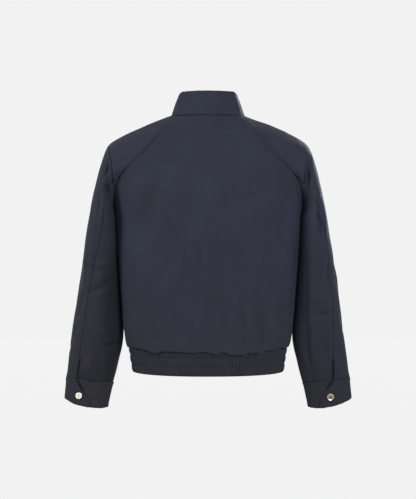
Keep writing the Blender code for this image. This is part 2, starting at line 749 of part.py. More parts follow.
def slider(frame, metal):
    width, thickness, length = SLIDER_SIZE
    plateY = -(CHAIN_PROUD + SEAM_GAP + thickness / 2)
    pinY = -(CHAIN_PROUD + SEAM_GAP + thickness + RUNNING_GAP + EYE_RADIUS)
    mesh = bmesh.new()
    plate = box(mesh, (width, thickness, length), (0, plateY, 0), frame)
    rims = list({edge for vert in plate for edge in vert.link_edges})
    bmesh.ops.bevel(
        mesh, geom=rims, offset=SLIDER_EDGE, segments=2, affect="EDGES", profile=0.5, material=-1)
    body = finished("zip_slider", mesh, metal)
    tools = []
    lugX = EYE_WIDTH / 2 + RUNNING_GAP + LUG_THICKNESS / 2
    lugDepth = EYE_RADIUS + RUNNING_GAP + PIN_RADIUS + LUG_BEYOND_PIN + thickness / 2
    for side in (-1, 1):
        lug = bmesh.new()
        place = (side * lugX, plateY - lugDepth / 2, 0)
        box(lug, (LUG_THICKNESS, lugDepth, LUG_LENGTH), place, frame)
        tools.append(finished("lug", lug, metal))
    pin = bmesh.new()
    turn = Matrix.Rotation(math.pi / 2, 3, "Y")
    cylinder(pin, PIN_RADIUS, lugX * 2, (0, pinY, 0), frame, 16, turn)
    tools.append(finished("pin", pin, metal))
    joined(body, tools, "UNION")
    body.data.shade_flat()
    return pinY


def pull_tab(frame, pinY, metal):
    # The eye turns on the slider's pin, and the tab hangs from it and rests against the chain.
    mesh = bmesh.new()
    still = Matrix.Identity(4)
    turn = Matrix.Rotation(math.pi / 2, 3, "Y")
    cylinder(mesh, EYE_RADIUS, EYE_WIDTH, (0, 0, 0), still, 24, turn)
    body = finished("zip_pull", mesh, metal)
    stem = bmesh.new()
    stemMiddle = (0, 0, -(STEM_TOP + STEM_BOTTOM) / 2)
    box(stem, (EYE_WIDTH, PULL_THICKNESS, STEM_BOTTOM - STEM_TOP), stemMiddle, still)
    tab = bmesh.new()
    tabMiddle = (0, 0, -(TAB_TOP + PULL_LENGTH) / 2)
    corners = box(tab, (PULL_WIDTH, PULL_THICKNESS, PULL_LENGTH - TAB_TOP), tabMiddle, still)
    upright = [
        edge for edge in {edge for vert in corners for edge in vert.link_edges}
        if abs(edge.verts[0].co.y - edge.verts[1].co.y) > PULL_THICKNESS / 2
    ]
    bmesh.ops.bevel(
        tab, geom=upright, offset=PULL_CORNER, segments=4, affect="EDGES", profile=0.5, material=-1)
    joined(body, [finished("stem", stem, metal), finished("tab", tab, metal)], "UNION")
    hole = bmesh.new()
    cylinder(hole, EYE_HOLE, EYE_WIDTH * 2, (0, 0, 0), still, 24, turn)
    joined(body, [finished("hole", hole, metal)], "DIFFERENCE")
    body.data.shade_flat()
    reach = -pinY - PULL_THICKNESS / 2 - CHAIN_PROUD - RUNNING_GAP
    resting = Matrix.Rotation(math.asin(reach / PULL_LENGTH), 4, "X")
    body.matrix_world = frame @ Matrix.Translation((0, pinY, 0)) @ resting


def snap_cap(name, cuff, outwards, side, metal):
    # A domed cap on the over-lapping end, seated just clear of the cuff's own points.
    near = cuff[SNAP_ROW, TAB_STEPS]
    toTip = unit(cuff[SNAP_ROW, TAB_STEPS - 2] - near)
    out = unit(outwards[SNAP_ROW, TAB_STEPS - 2] + outwards[SNAP_ROW, TAB_STEPS])
    place = near + toTip * SNAP_FROM_OPENING
    around = cuff[:, :TAB_STEPS + 3].reshape(-1, 3)
    around = around[np.linalg.norm(around - place, axis=1) < SNAP_RADIUS * 2]
    place = place + out * (np.max((around - place) @ out) + SEAM_GAP)
    place = place * (side, 1, 1)
    out = out * (side, 1, 1)
    facing = Vector(out).to_track_quat("Z", "Y").to_matrix().to_4x4()
    frame = Matrix.Translation(Vector(place)) @ facing
    mesh = bmesh.new()
    lathe(mesh, [(p.radius * MM, p.height * MM) for p in SNAP_PROFILE], frame, SNAP_STEPS)
    return finished(name, mesh, metal)


def build():
    clear_scene()
    navy = material("navy_shell_cloth", (0.036, 0.043, 0.062), 0.8)
    zipCloth = material("zip_tape_and_chain", (0.03, 0.034, 0.045), 0.6)
    bright = material("snap_metal", (0.62, 0.6, 0.57), 0.3, 1.0)
    steel = material("slider_metal", (0.4, 0.39, 0.38), 0.35, 1.0)

    back = back_surface()
    front = front_surface()
    sleeve = sleeve_surface(back, front, 1)
    turnedSleeve = sleeve_surface(back, front, -1)
    seam = neck_seam(back, sleeve, front)
    collar = collar_surface(seam)
    surfaces = [back, front, mirrored(front), sleeve, mirrored(turnedSleeve), collar]
    total = gather_normals(surfaces)
    normals = [normals_of(surface, total) for surface in surfaces]
    surfaces = [folded(*pair) for pair in zip(surfaces[:5], normals[:5])] + [collar]
    total = gather_normals(surfaces)
    normals = [normals_of(surface, total) for surface in surfaces]
    for number in (0, 1, 2):
        level_normals(normals[number], -1, np.array([0.0, 0.0, 1.0]))
    for number, side in ((3, 1), (4, -1)):
        level_normals(normals[number], -1, ring_axis(side))

    backPoints, leftFront, rightFront, leftSleeve, rightSleeve, collarPoints = surfaces
    cloth_piece("back", backPoints, normals[0], CLOTH, (1, 1, 1, 1), navy)
    cloth_piece("front_left", leftFront, normals[1], CLOTH, (1, 1, 1, 0), navy)
    cloth_piece("front_right", rightFront, normals[2], CLOTH, (1, 1, 0, 1), navy)
    cloth_piece("collar", collarPoints, normals[5], DOUBLE_CLOTH, (0, 1, 0, 0), navy)

    railCount = sleeve.shape[1] - 1
    for name, points, away in (("left", leftSleeve, normals[3]), ("right", rightSleeve, normals[4])):
        first, last = UNDER_RAILS, railCount - UNDER_RAILS
        if name == "right":
            first, last = railCount - last, railCount - first
        over = np.s_[:, first:last + 1]
        cloth_piece("oversleeve_" + name, points[over], away[over], CLOTH, (1, 1, 1, 1), navy)
        under = np.concatenate([points[:, last:-1], points[:, :first + 1]], axis=1)
        underAway = np.concatenate([away[:, last:-1], away[:, :first + 1]], axis=1)
        cloth_piece("undersleeve_" + name, under, underAway, CLOTH, (1, 1, 1, 1), navy)

    outer, inner = band_surface()
    outer[0, :, 2] -= SEAM_GAP / 2
    inner[0, :, 2] -= SEAM_GAP / 2
    sheet_solid("waistband", outer, inner, navy)

    for name, side in (("left", 1), ("right", -1)):
        cuff, outwards = cuff_surface(railCount, side)
        points = cuff if side == 1 else mirrored(cuff)
        away = outwards if side == 1 else mirrored(outwards)
        cloth_piece("cuff_" + name, points, away, DOUBLE_CLOTH, (1, 0, 0, 0), navy)
        snap_cap("cuff_snap_" + name, cuff, outwards, side, bright)

    path = zip_path(leftFront, collarPoints)
    zip_half("zip_left", 1, path, zipCloth)
    zip_half("zip_right", -1, path, zipCloth)
    frame = slider_frame(path)
    pinY = slider(frame, steel)
    pull_tab(frame, pinY, steel)


build()
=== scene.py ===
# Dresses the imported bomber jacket: navy shell cloth with its creases, gathers, sewing, zip and snaps.
# Everything is in metres in the frame's own coordinates: +Z up, the back towards +Y.
import math

import bmesh
import bpy
import numpy as np
from mathutils import Matrix, Vector, noise
from mathutils.bvhtree import BVHTree
from mathutils.kdtree import KDTree


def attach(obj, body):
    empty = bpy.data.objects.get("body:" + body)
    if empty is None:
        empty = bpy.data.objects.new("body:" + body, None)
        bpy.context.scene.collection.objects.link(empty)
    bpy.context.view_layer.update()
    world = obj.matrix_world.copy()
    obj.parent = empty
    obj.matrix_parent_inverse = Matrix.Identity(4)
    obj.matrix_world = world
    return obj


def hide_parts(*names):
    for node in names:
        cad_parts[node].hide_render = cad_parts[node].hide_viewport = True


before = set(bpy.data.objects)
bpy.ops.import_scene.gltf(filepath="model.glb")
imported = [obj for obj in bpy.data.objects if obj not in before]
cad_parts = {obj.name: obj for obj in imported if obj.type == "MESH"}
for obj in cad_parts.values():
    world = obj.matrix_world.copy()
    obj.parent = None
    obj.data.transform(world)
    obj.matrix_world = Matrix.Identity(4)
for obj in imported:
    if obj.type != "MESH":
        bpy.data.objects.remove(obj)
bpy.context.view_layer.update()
mm = 0.001
jacket = "jacket"

stage = {
    "background": "#F2F2F2",
    "floorZ": -1.45,            # the shoulders of a standing wearer are this far above the floor
    "floorSize": 24.0,
    "floor": "#080808",
    "floorGlow": 0.984,         # the floor is lit as evenly as the backdrop
    "cameraPlace": (0.0, 2.8, -0.327),
    "lens": 98.9,
    "sensor": 36.0,
    "farthest": 60.0,
}
lights = [                      # place, what it points at, size, watts
    ("keyLight", (2.08, 0.76, 0.5), (0.0, 0.0, -0.15), 0.7, 43),
    ("fillLight", (-1.05, 2.3, 0.35), (0.0, 0.0, -0.2), 0.9, 72),
    ("frontLight", (-1.1, -1.9, 0.8), (0.0, 0.0, -0.25), 0.9, 70),
]


def linear(code):
    # sRGB hex to linear colour
    parts = [int(code[i:i + 2], 16) / 255 for i in (1, 3, 5)]
    return tuple(p / 12.92 if p <= 0.04045 else ((p + 0.055) / 1.055) ** 2.4 for p in parts) + (1.0,)


def addNode(tree, kind, settings=None, inputs=None):
    # a shader node with its settings; an input is a value or another node's output
    node = tree.nodes.new("ShaderNode" + kind)
    for name, value in (settings or {}).items():
        setattr(node, name, value)
    for name, value in (inputs or {}).items():
        if isinstance(value, bpy.types.NodeSocket):
            tree.links.new(value, node.inputs[name])
        else:
            node.inputs[name].default_value = value
    return node


def newMaterial(name):
    # An empty material, its nodes, and the coordinates of its surface.
    surface = bpy.data.materials.new(name)
    surface.use_nodes = True
    surface.node_tree.nodes.clear()
    return surface, surface.node_tree, addNode(surface.node_tree, "TexCoord").outputs


def finished(surface, inputs):
    shader = addNode(surface.node_tree, "BsdfPrincipled", inputs=inputs)
    addNode(surface.node_tree, "OutputMaterial", inputs={"Surface": shader.outputs[0]})
    return surface


def lumps(tree, place, scale, detail=2.0, roughness=0.5):
    return addNode(tree, "TexNoise", inputs={
        "Vector": place, "Scale": scale, "Detail": detail, "Roughness": roughness}).outputs["Fac"]


def fineLines(tree, place, apart, rotation=(0, 0, 0), distortion=0.0, detail=2.0):
    # A band texture of scale 1 repeats over a twentieth of a full turn.
    turned = addNode(tree, "Mapping", inputs={
        "Vector": place, "Rotation": rotation, "Scale": (2 * math.pi / 20 / apart,) * 3})
    return addNode(tree, "TexWave", inputs={
        "Vector": turned.outputs[0], "Scale": 1.0, "Distortion": distortion,
        "Detail": detail}).outputs["Fac"]


def spread(tree, value, low, high):
    return addNode(tree, "MapRange", inputs={
        "Value": value, "To Min": low, "To Max": high}).outputs["Result"]


def ramp(tree, value, stops):
    # A colour ramp through pairs of place and tone.
    node = addNode(tree, "ValToRGB", inputs={"Fac": value})
    elements = node.color_ramp.elements
    for _ in stops[2:]:
        elements.new(0.5)
    for element, (place, tone) in zip(elements, stops):
        element.position = place
        element.color = linear(tone)
    return node.outputs["Color"]


def mixed(tree, share, first, second, blend="MIX"):
    return addNode(tree, "Mix", {"data_type": "RGBA", "blend_type": blend}, {
        0: share, 6: first, 7: second}).outputs[2]


def bumped(tree, height, strength, distance, under=None):
    node = addNode(tree, "Bump", inputs={"Height": height, "Strength": strength, "Distance": distance})
    if under is not None:
        tree.links.new(under, node.inputs["Normal"])
    return node.outputs[0]


def shellCloth(name, tones, greyed, paintedShadeTone, creased):
    # Polyamide and cotton twill, woven close and piece dyed: matt, with a faint bloom at grazing angles.
    # The real twill line is about 0.35 mm apart; it is drawn at 0.7 mm so that it shows in close views.
    surface, tree, place = newMaterial(name)
    cloud = lumps(tree, place["Object"], 14.0, 3.0, 0.55)
    fleck = spread(tree, lumps(tree, place["Object"], 120.0), 0.93, 1.07)
    dyed = mixed(tree, 1.0, ramp(tree, cloud, [(0.3, tones[0]), (0.72, tones[1])]), fleck, "MULTIPLY")
    handled = addNode(tree, "Attribute", {"attribute_name": "greyed"})
    toned = mixed(tree, handled.outputs["Fac"], dyed, linear(greyed))
    # The attribute read here is painted shade: the cloth is mixed towards a dark tone in seam grooves,
    # along the shoulder's fold, beside the slits and tab edges, on the left sleeve's inner strip and in the
    # waistband's hollows.
    folded = addNode(tree, "Attribute", {"attribute_name": "paintedShade"})
    deep = addNode(tree, "Math", {"operation": "MULTIPLY", "use_clamp": True}, {
        0: folded.outputs["Fac"], 1: spread(tree, cloud, 0.7, 1.2)})
    twill = fineLines(tree, place["UV"], 0.0007, (0, 0, math.radians(27)), 0.6, 1.0)
    weft = fineLines(tree, place["UV"], 0.0005, (0, 0, math.radians(90)), 0.8, 1.0)
    weave = addNode(tree, "Math", {"operation": "ADD"}, {0: twill, 1: weft})
    threaded = bumped(tree, weave.outputs[0], 0.35, 0.00006)
    crumple = lumps(tree, place["Object"], 34.0, 4.0, 0.6)
    return finished(surface, {
        "Base Color": mixed(tree, deep.outputs[0], toned, linear(paintedShadeTone)),
        "Roughness": spread(tree, cloud, 0.8, 0.94), "Specular IOR Level": 0.14, "IOR": 1.5,
        "Sheen Weight": 0.07, "Sheen Roughness": 0.4, "Sheen Tint": linear("#8E98B4"),
        "Normal": bumped(tree, crumple, 1.0, creased, threaded)})


def zipTape():
    # Woven polyester tape: a fine rib runs along it, 0.6 mm apart, with a little more gloss than the shell.
    surface, tree, place = newMaterial("wovenPolyesterTape")
    rib = fineLines(tree, place["Object"], 0.0006, distortion=0.4)
    return finished(surface, {
        "Base Color": ramp(tree, rib, [(0.0, "#191C27"), (1.0, "#252936")]), "Roughness": 0.6,
        "Sheen Weight": 0.1, "Normal": bumped(tree, rib, 0.5, 0.0001)})


def zipTeeth():
    # Acetal teeth moulded on the tape: dark, smooth and slightly waxy.
    surface, tree, place = newMaterial("mouldedAcetalTeeth")
    mould = lumps(tree, place["Object"], 900.0)
    return finished(surface, {
        "Base Color": ramp(tree, mould, [(0.0, "#191C26"), (1.0, "#262A38")]),
        "Roughness": spread(tree, mould, 0.28, 0.42), "IOR": 1.48})


snapCentres = {"cuff_snap_left": (316.25, 3.9, -684.6), "cuff_snap_right": (-299.8, 4.7, -687.8)}
snapRings = {                   # radius in millimetres and the tone there: the plating's tone with painted shade in the recess and a painted shadow ring round the edge
    "cuff_snap_left": [
        (0.0, "#ECE9E0"), (2.4, "#E4E1D6"), (3.0, "#D6D3C6"), (3.6, "#F6F5EF"), (7.6, "#F2F1EA"),
        (8.1, "#202126"), (8.6, "#141519"),
    ],
    "cuff_snap_right": [        # it faces away from the key light, so inside its bright rim it is painted darker, with a warm tint; a painted shade ring lies in its recess and a painted shadow round its edge
        (0.0, "#6E6450"), (2.2, "#8A7C5C"), (2.9, "#3E3A32"), (3.8, "#A49B84"), (6.2, "#8F8A7C"),
        (7.6, "#E8E4D8"), (8.6, "#1A1B1F"),
    ],
}


def metal(name, tones, rough, grain, scale, snap=None):
    # Plated metal: the tone drifts a little and fine handling marks break the gloss.
    surface, tree, place = newMaterial(name)
    marks = lumps(tree, place["Object"], scale, 4.0, 0.65)
    colour = ramp(tree, marks, [(0.25, tones[0]), (0.75, tones[1])])
    # A snap's rings multiply in painted shade: a darker ring in its recess and a painted shadow round its
    # edge, and on the right snap a darker, warm tinted cap.
    if snap is not None:
        widest = snapRings[snap][-1][0]
        fromCentre = addNode(tree, "VectorMath", {"operation": "DISTANCE"}, {
            0: place["Object"], 1: [v * mm for v in snapCentres[snap]]})
        outwards = addNode(tree, "MapRange", inputs={
            "Value": fromCentre.outputs["Value"], "From Max": widest * mm})
        tintAndPaintedShadeRings = ramp(tree, outwards.outputs["Result"], [(r / widest, tone) for r, tone in snapRings[snap]])
        colour = mixed(tree, 1.0, colour, tintAndPaintedShadeRings, "MULTIPLY")
    return finished(surface, {
        "Base Color": colour, "Metallic": 1.0, "Roughness": spread(tree, marks, *rough),
        "Normal": bumped(tree, marks, 0.3, grain)})


def sewingThread():
    # Core-spun polyester thread: two plies twist round each other every 0.8 mm.
    surface, tree, place = newMaterial("spunPolyesterThread")
    ply = fineLines(tree, place["Object"], 0.0008, (0.6, 0.5, 0.7))
    return finished(surface, {
        "Base Color": ramp(tree, ply, [(0.0, "#171A23"), (1.0, "#262A36")]), "Roughness": 0.6,
        "Specular IOR Level": 0.2, "Sheen Weight": 0.06})


def paintedFloor():
    # Pale matt studio floor with a trace of roller texture.
    surface, tree, place = newMaterial("mattPaintedFloor")
    roller = lumps(tree, place["Object"], 300.0)
    return finished(surface, {
        "Base Color": linear(stage["floor"]), "Roughness": 0.9, "Specular IOR Level": 0.05,
        "Emission Color": linear(stage["background"]), "Emission Strength": stage["floorGlow"],
        "Normal": bumped(tree, roller, 0.05, 0.0005)})


materials = {
    # The fourth tone is the dark tone of the painted shade.
    "cloth": shellCloth("navyPolyamideTwill", ("#191C26", "#1D202B"), "#1D1D22", "#0A0B10", 0.0011),
    "tape": zipTape(),
    "teeth": zipTeeth(),
    "cuff_snap_left": metal("polishedNickelPlateWithPaintedShade", ("#DEDBD2", "#F4F2EC"), (0.4, 0.52), 0.00003, 500.0,
                            "cuff_snap_left"),
    "cuff_snap_right": metal("tintedNickelPlateWithPaintedShade", ("#D9D6CF", "#F4F2EC"), (0.22, 0.36), 0.00003, 500.0,
                             "cuff_snap_right"),
    "slider": metal("satinNickelPlate", ("#8E8B86", "#B5B2AC"), (0.3, 0.45), 0.00004, 700.0),
    "thread": sewingThread(),
    "floor": paintedFloor(),
}
print("materials made")


def meshOf(data):
    mesh = bmesh.new()
    mesh.from_mesh(data)
    return mesh


def putBack(mesh, data):
    mesh.to_mesh(data)
    mesh.free()


def makeObject(name, mesh, surface, smooth=True):
    data = bpy.data.meshes.new(name)
    putBack(mesh, data)
    data.materials.append(surface)
    if smooth:
        data.shade_smooth()
    item = bpy.data.objects.new(name, data)
    bpy.context.scene.collection.objects.link(item)
    return item


def makeStage():
    scene = bpy.context.scene
    scene.view_settings.view_transform = "Standard"
    lens = bpy.data.cameras.new("photoCamera")
    lens.sensor_fit = "HORIZONTAL"
    lens.sensor_width = stage["sensor"]
    lens.lens = stage["lens"]
    lens.clip_end = stage["farthest"]
    camera = bpy.data.objects.new("photoCamera", lens)
    camera.location = stage["cameraPlace"]
    camera.rotation_euler = (math.radians(90), 0, math.radians(180))
    scene.collection.objects.link(camera)
    scene.camera = camera
    world = bpy.data.worlds.new("paleStudio")
    world.use_nodes = True
    world.node_tree.nodes["Background"].inputs["Color"].default_value = linear(stage["background"])
    scene.world = world
    for name, place, target, size, watts in lights:
        lamp = bpy.data.lights.new(name, "AREA")
        lamp.shape = "DISK"
        lamp.size = size
        lamp.energy = watts
        item = bpy.data.objects.new(name, lamp)
        item.location = place
        item.rotation_euler = (Vector(target) - Vector(place)).to_track_quat("-Z", "Y").to_euler()
        scene.collection.objects.link(item)
    mesh = bmesh.new()
    bmesh.ops.create_circle(mesh, cap_ends=True, segments=96, radius=stage["floorSize"] / 2)
    bmesh.ops.translate(mesh, verts=mesh.verts[:], vec=(0, 0, stage["floorZ"]))
    makeObject("studioFloor", mesh, materials["floor"], smooth=False)


makeStage()
print("stage made")

# Panels: the outer side of each CAD wall, smoothed, creased and given its thickness again.
wall = {
    "merged": 2e-5,
    "rimAngle": math.radians(50),       # a wall's rim meets its sides more sharply than this
    "widestRim": 1.6 * mm,      # area over edge length of a rim; a side of the wall has more
    "quadAngles": (math.radians(60), math.radians(70)),
    "middles": {                # two points of the line that the piece goes round
        "arm": ((0.2500, 0.0, -0.20), (0.3005, -0.022, -0.70)),
        "body": ((0.0, -0.005, 0.0), (0.0, -0.005, -0.60)),
    },
}
sleeveNodes = ("over", "under")         # how their names start
armNodes = ("over", "under", "cuff")
bodyNodes = ("back", "front_left", "front_right")


def facesOut(node, side):
    # Whether a patch of faces looks away from the piece's middle line.
    mirror = (-1 if node.endswith("right") else 1, 1, 1)
    start, end = np.array(wall["middles"]["arm" if node.startswith(armNodes) else "body"]) * mirror
    way = (end - start) / np.linalg.norm(end - start)
    total = 0.0
    for face in side:
        offset = np.array(face.calc_center_median()) - start
        outwards = offset - way * offset.dot(way)
        total += face.calc_area() * float(np.dot(outwards, np.array(face.normal)))
    return total > 0


def outerSide(node):
    # Merged copy of the node's wall, of which only the outer side stays, as quads.
    mesh = meshOf(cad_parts[node].data)
    bmesh.ops.remove_doubles(mesh, verts=mesh.verts[:], dist=wall["merged"])
    sharp = {e for e in mesh.edges if len(e.link_faces) == 2 and e.calc_face_angle() > wall["rimAngle"]}
    left = set(mesh.faces)
    dropped = []
    while left:
        side = [left.pop()]
        for face in side:
            for other in [f for e in face.edges if e not in sharp for f in e.link_faces]:
                if other in left:
                    left.remove(other)
                    side.append(other)
        area = sum(face.calc_area() for face in side)
        edge = sum(e.calc_length() for face in side for e in face.edges if e in sharp)
        if area < wall["widestRim"] * edge / 2 or not facesOut(node, side):
            dropped += side
    bmesh.ops.delete(mesh, geom=dropped, context="FACES")
    faceAngle, shapeAngle = wall["quadAngles"]
    bmesh.ops.join_triangles(mesh, faces=mesh.faces[:], angle_face_threshold=faceAngle,
                             angle_shape_threshold=shapeAngle)
    return mesh


def readRows(items, name, size, kind=float):
    # A value of every item, one row for each.
    rows = np.zeros(len(items) * size, kind)
    items.foreach_get(name, rows)
    return rows.reshape(-1, size)


def coordinates(data):
    return readRows(data.vertices, "co", 3)


def loopVerts(data):
    return readRows(data.loops, "vertex_index", 1, int)[:, 0]


def unwrapped(item):
    # Lays the piece flat as it was cut, to its real size, with its length along V.
    bpy.context.view_layer.objects.active = item
    item.select_set(True)
    bpy.ops.object.mode_set(mode="EDIT")
    bpy.ops.mesh.select_all(action="SELECT")
    bpy.ops.uv.unwrap(method="ANGLE_BASED", margin=0.0)
    bpy.ops.object.mode_set(mode="OBJECT")
    item.select_set(False)
    data = item.data
    places = readRows(data.uv_layers.active.data, "uv", 2)
    flatArea = 0.0
    for face in data.polygons:
        x, y = places[list(face.loop_indices)].T
        flatArea += abs(np.dot(x, np.roll(y, 1)) - np.dot(y, np.roll(x, 1))) / 2
    realArea = sum(face.area for face in data.polygons)
    upwards = coordinates(data)[loopVerts(data), 2]
    slope = np.linalg.lstsq(np.c_[places, np.ones(len(places))], upwards, rcond=None)[0][:2]
    slope /= np.linalg.norm(slope)
    turn = np.array([[slope[1], slope[0]], [-slope[0], slope[1]]])
    places = places @ turn * math.sqrt(realArea / flatArea)
    places -= places.min(axis=0)
    data.uv_layers.active.data.foreach_set("uv", places.ravel())
    return float(places[:, 0].max()), float(places[:, 1].max()), realArea


smoothing = {
    "cageLevels": 2,
    "passes": 4,                # how often the cage is corrected so that the surface meets its points
    "step": 0.9,
}


def smoothed(item):
    # The piece as its modifiers leave it.
    graph = bpy.context.evaluated_depsgraph_get()
    return bpy.data.meshes.new_from_object(item.evaluated_get(graph))


def subdivided(item, levels):
    # Applies a Subdivision Surface that keeps the panel's corners and passes through its points.
    modifier = item.modifiers.new("Subdivision", "SUBSURF")
    modifier.boundary_smooth = "PRESERVE_CORNERS"
    modifier.levels = modifier.render_levels = smoothing["cageLevels"]
    wanted = coordinates(item.data)
    cage = wanted.copy()
    for _ in range(smoothing["passes"]):
        rounded = smoothed(item)
        cage += (wanted - coordinates(rounded)[:len(wanted)]) * smoothing["step"]
        bpy.data.meshes.remove(rounded)
        item.data.vertices.foreach_set("co", cage.ravel())
        item.data.update()
    modifier.levels = modifier.render_levels = levels
    data = smoothed(item)
    item.modifiers.clear()
    old = item.data
    item.data = data
    bpy.data.meshes.remove(old)


def edgeChains(mesh):
    # The open edges as ordered chains of vertex numbers, cut at the panel's corners.
    mesh.verts.index_update()
    rim = [edge for edge in mesh.edges if edge.is_boundary]
    used = set()
    chains = []
    starts = [v for edge in rim for v in edge.verts if len(v.link_faces) == 1] or [rim[0].verts[0]]
    for start in starts:
        for first in start.link_edges:
            if not first.is_boundary or first in used:
                continue
            chain = [start]
            edge = first
            while edge is not None:
                used.add(edge)
                chain.append(edge.other_vert(chain[-1]))
                onwards = [e for e in chain[-1].link_edges if e.is_boundary and e not in used]
                edge = onwards[0] if onwards and len(chain[-1].link_faces) > 1 else None
            chains.append([v.index for v in chain])
    return chains


def smoothStep(value, low, high):
    share = np.clip((value - low) / (high - low), 0, 1)
    return share * share * (3 - 2 * share)


def bell(value, width):
    # 1 where the value is 0, falling off evenly on both sides
    return np.exp(-(value / width) ** 2)


def unit(rows):
    return rows / np.linalg.norm(rows, axis=1, keepdims=True)


def fromTable(value, table):
    # Reads a list of pairs of value and result.
    return np.interp(value, [known for known, _ in table], [result for _, result in table])


def noiseAt(points, scale, seed):
    # Smooth noise from about -1 to 1 at the points; scale is the size of its lumps.
    offset = Vector((seed * 3.7, seed * 1.3, -seed * 2.9))
    return np.array([noise.noise(Vector(p) / scale + offset) for p in points])


band = {
    "topZ": -566.0, "bottomZ": -623.5,
    "topHalf": (191.5, 115.5, -115.0), "bottomHalf": (183.5, 110.5, -111.0),    # half width, back, front
    "square": (2.4, 2.3),       # how square the oval is, at the top and at the hem
    "sideY": -5.0, "sag": 3.0, "edge": 4.0,
    "columns": 1100, "rows": 30,
    "gathers": 190, "gatherDepth": 2.3, "puff": 0.8,
    "puffed": 0.7, "sharp": 0.7,            # powers: lower is fuller
    "around": 40, "channelApart": 3.1, "channelShare": 0.25,    # where the gathers' noise is read
    "drift": [(1.0, 5, 0.55), (0.35, 8, 0.22)],     # lump, seed and share
    "drifts": 2.2,
    "strengthLump": 0.8, "endFade": 0.012,
    "strength": (0.8, 0.8),     # the gathers' usual strength, and how much it varies
    "puffBy": (0.8, 0.4), "gatherBy": (0.45, 0.55),     # with that strength, and with the puff
    # painted shade in the gathers' hollows and along the stitched rows
    "hollowUnder": 0.75, "hollowDark": 0.7, "stitchedDark": 0.15,
    "rowsOfStitches": (0.3, 0.665), "outerRows": (0.045, 0.955),
    "flat": (1.45, 0.062),
    "thickness": 2.0,
    "lip": 5.0, "lipUntil": 0.005,          # the top edge turns in under the body
}
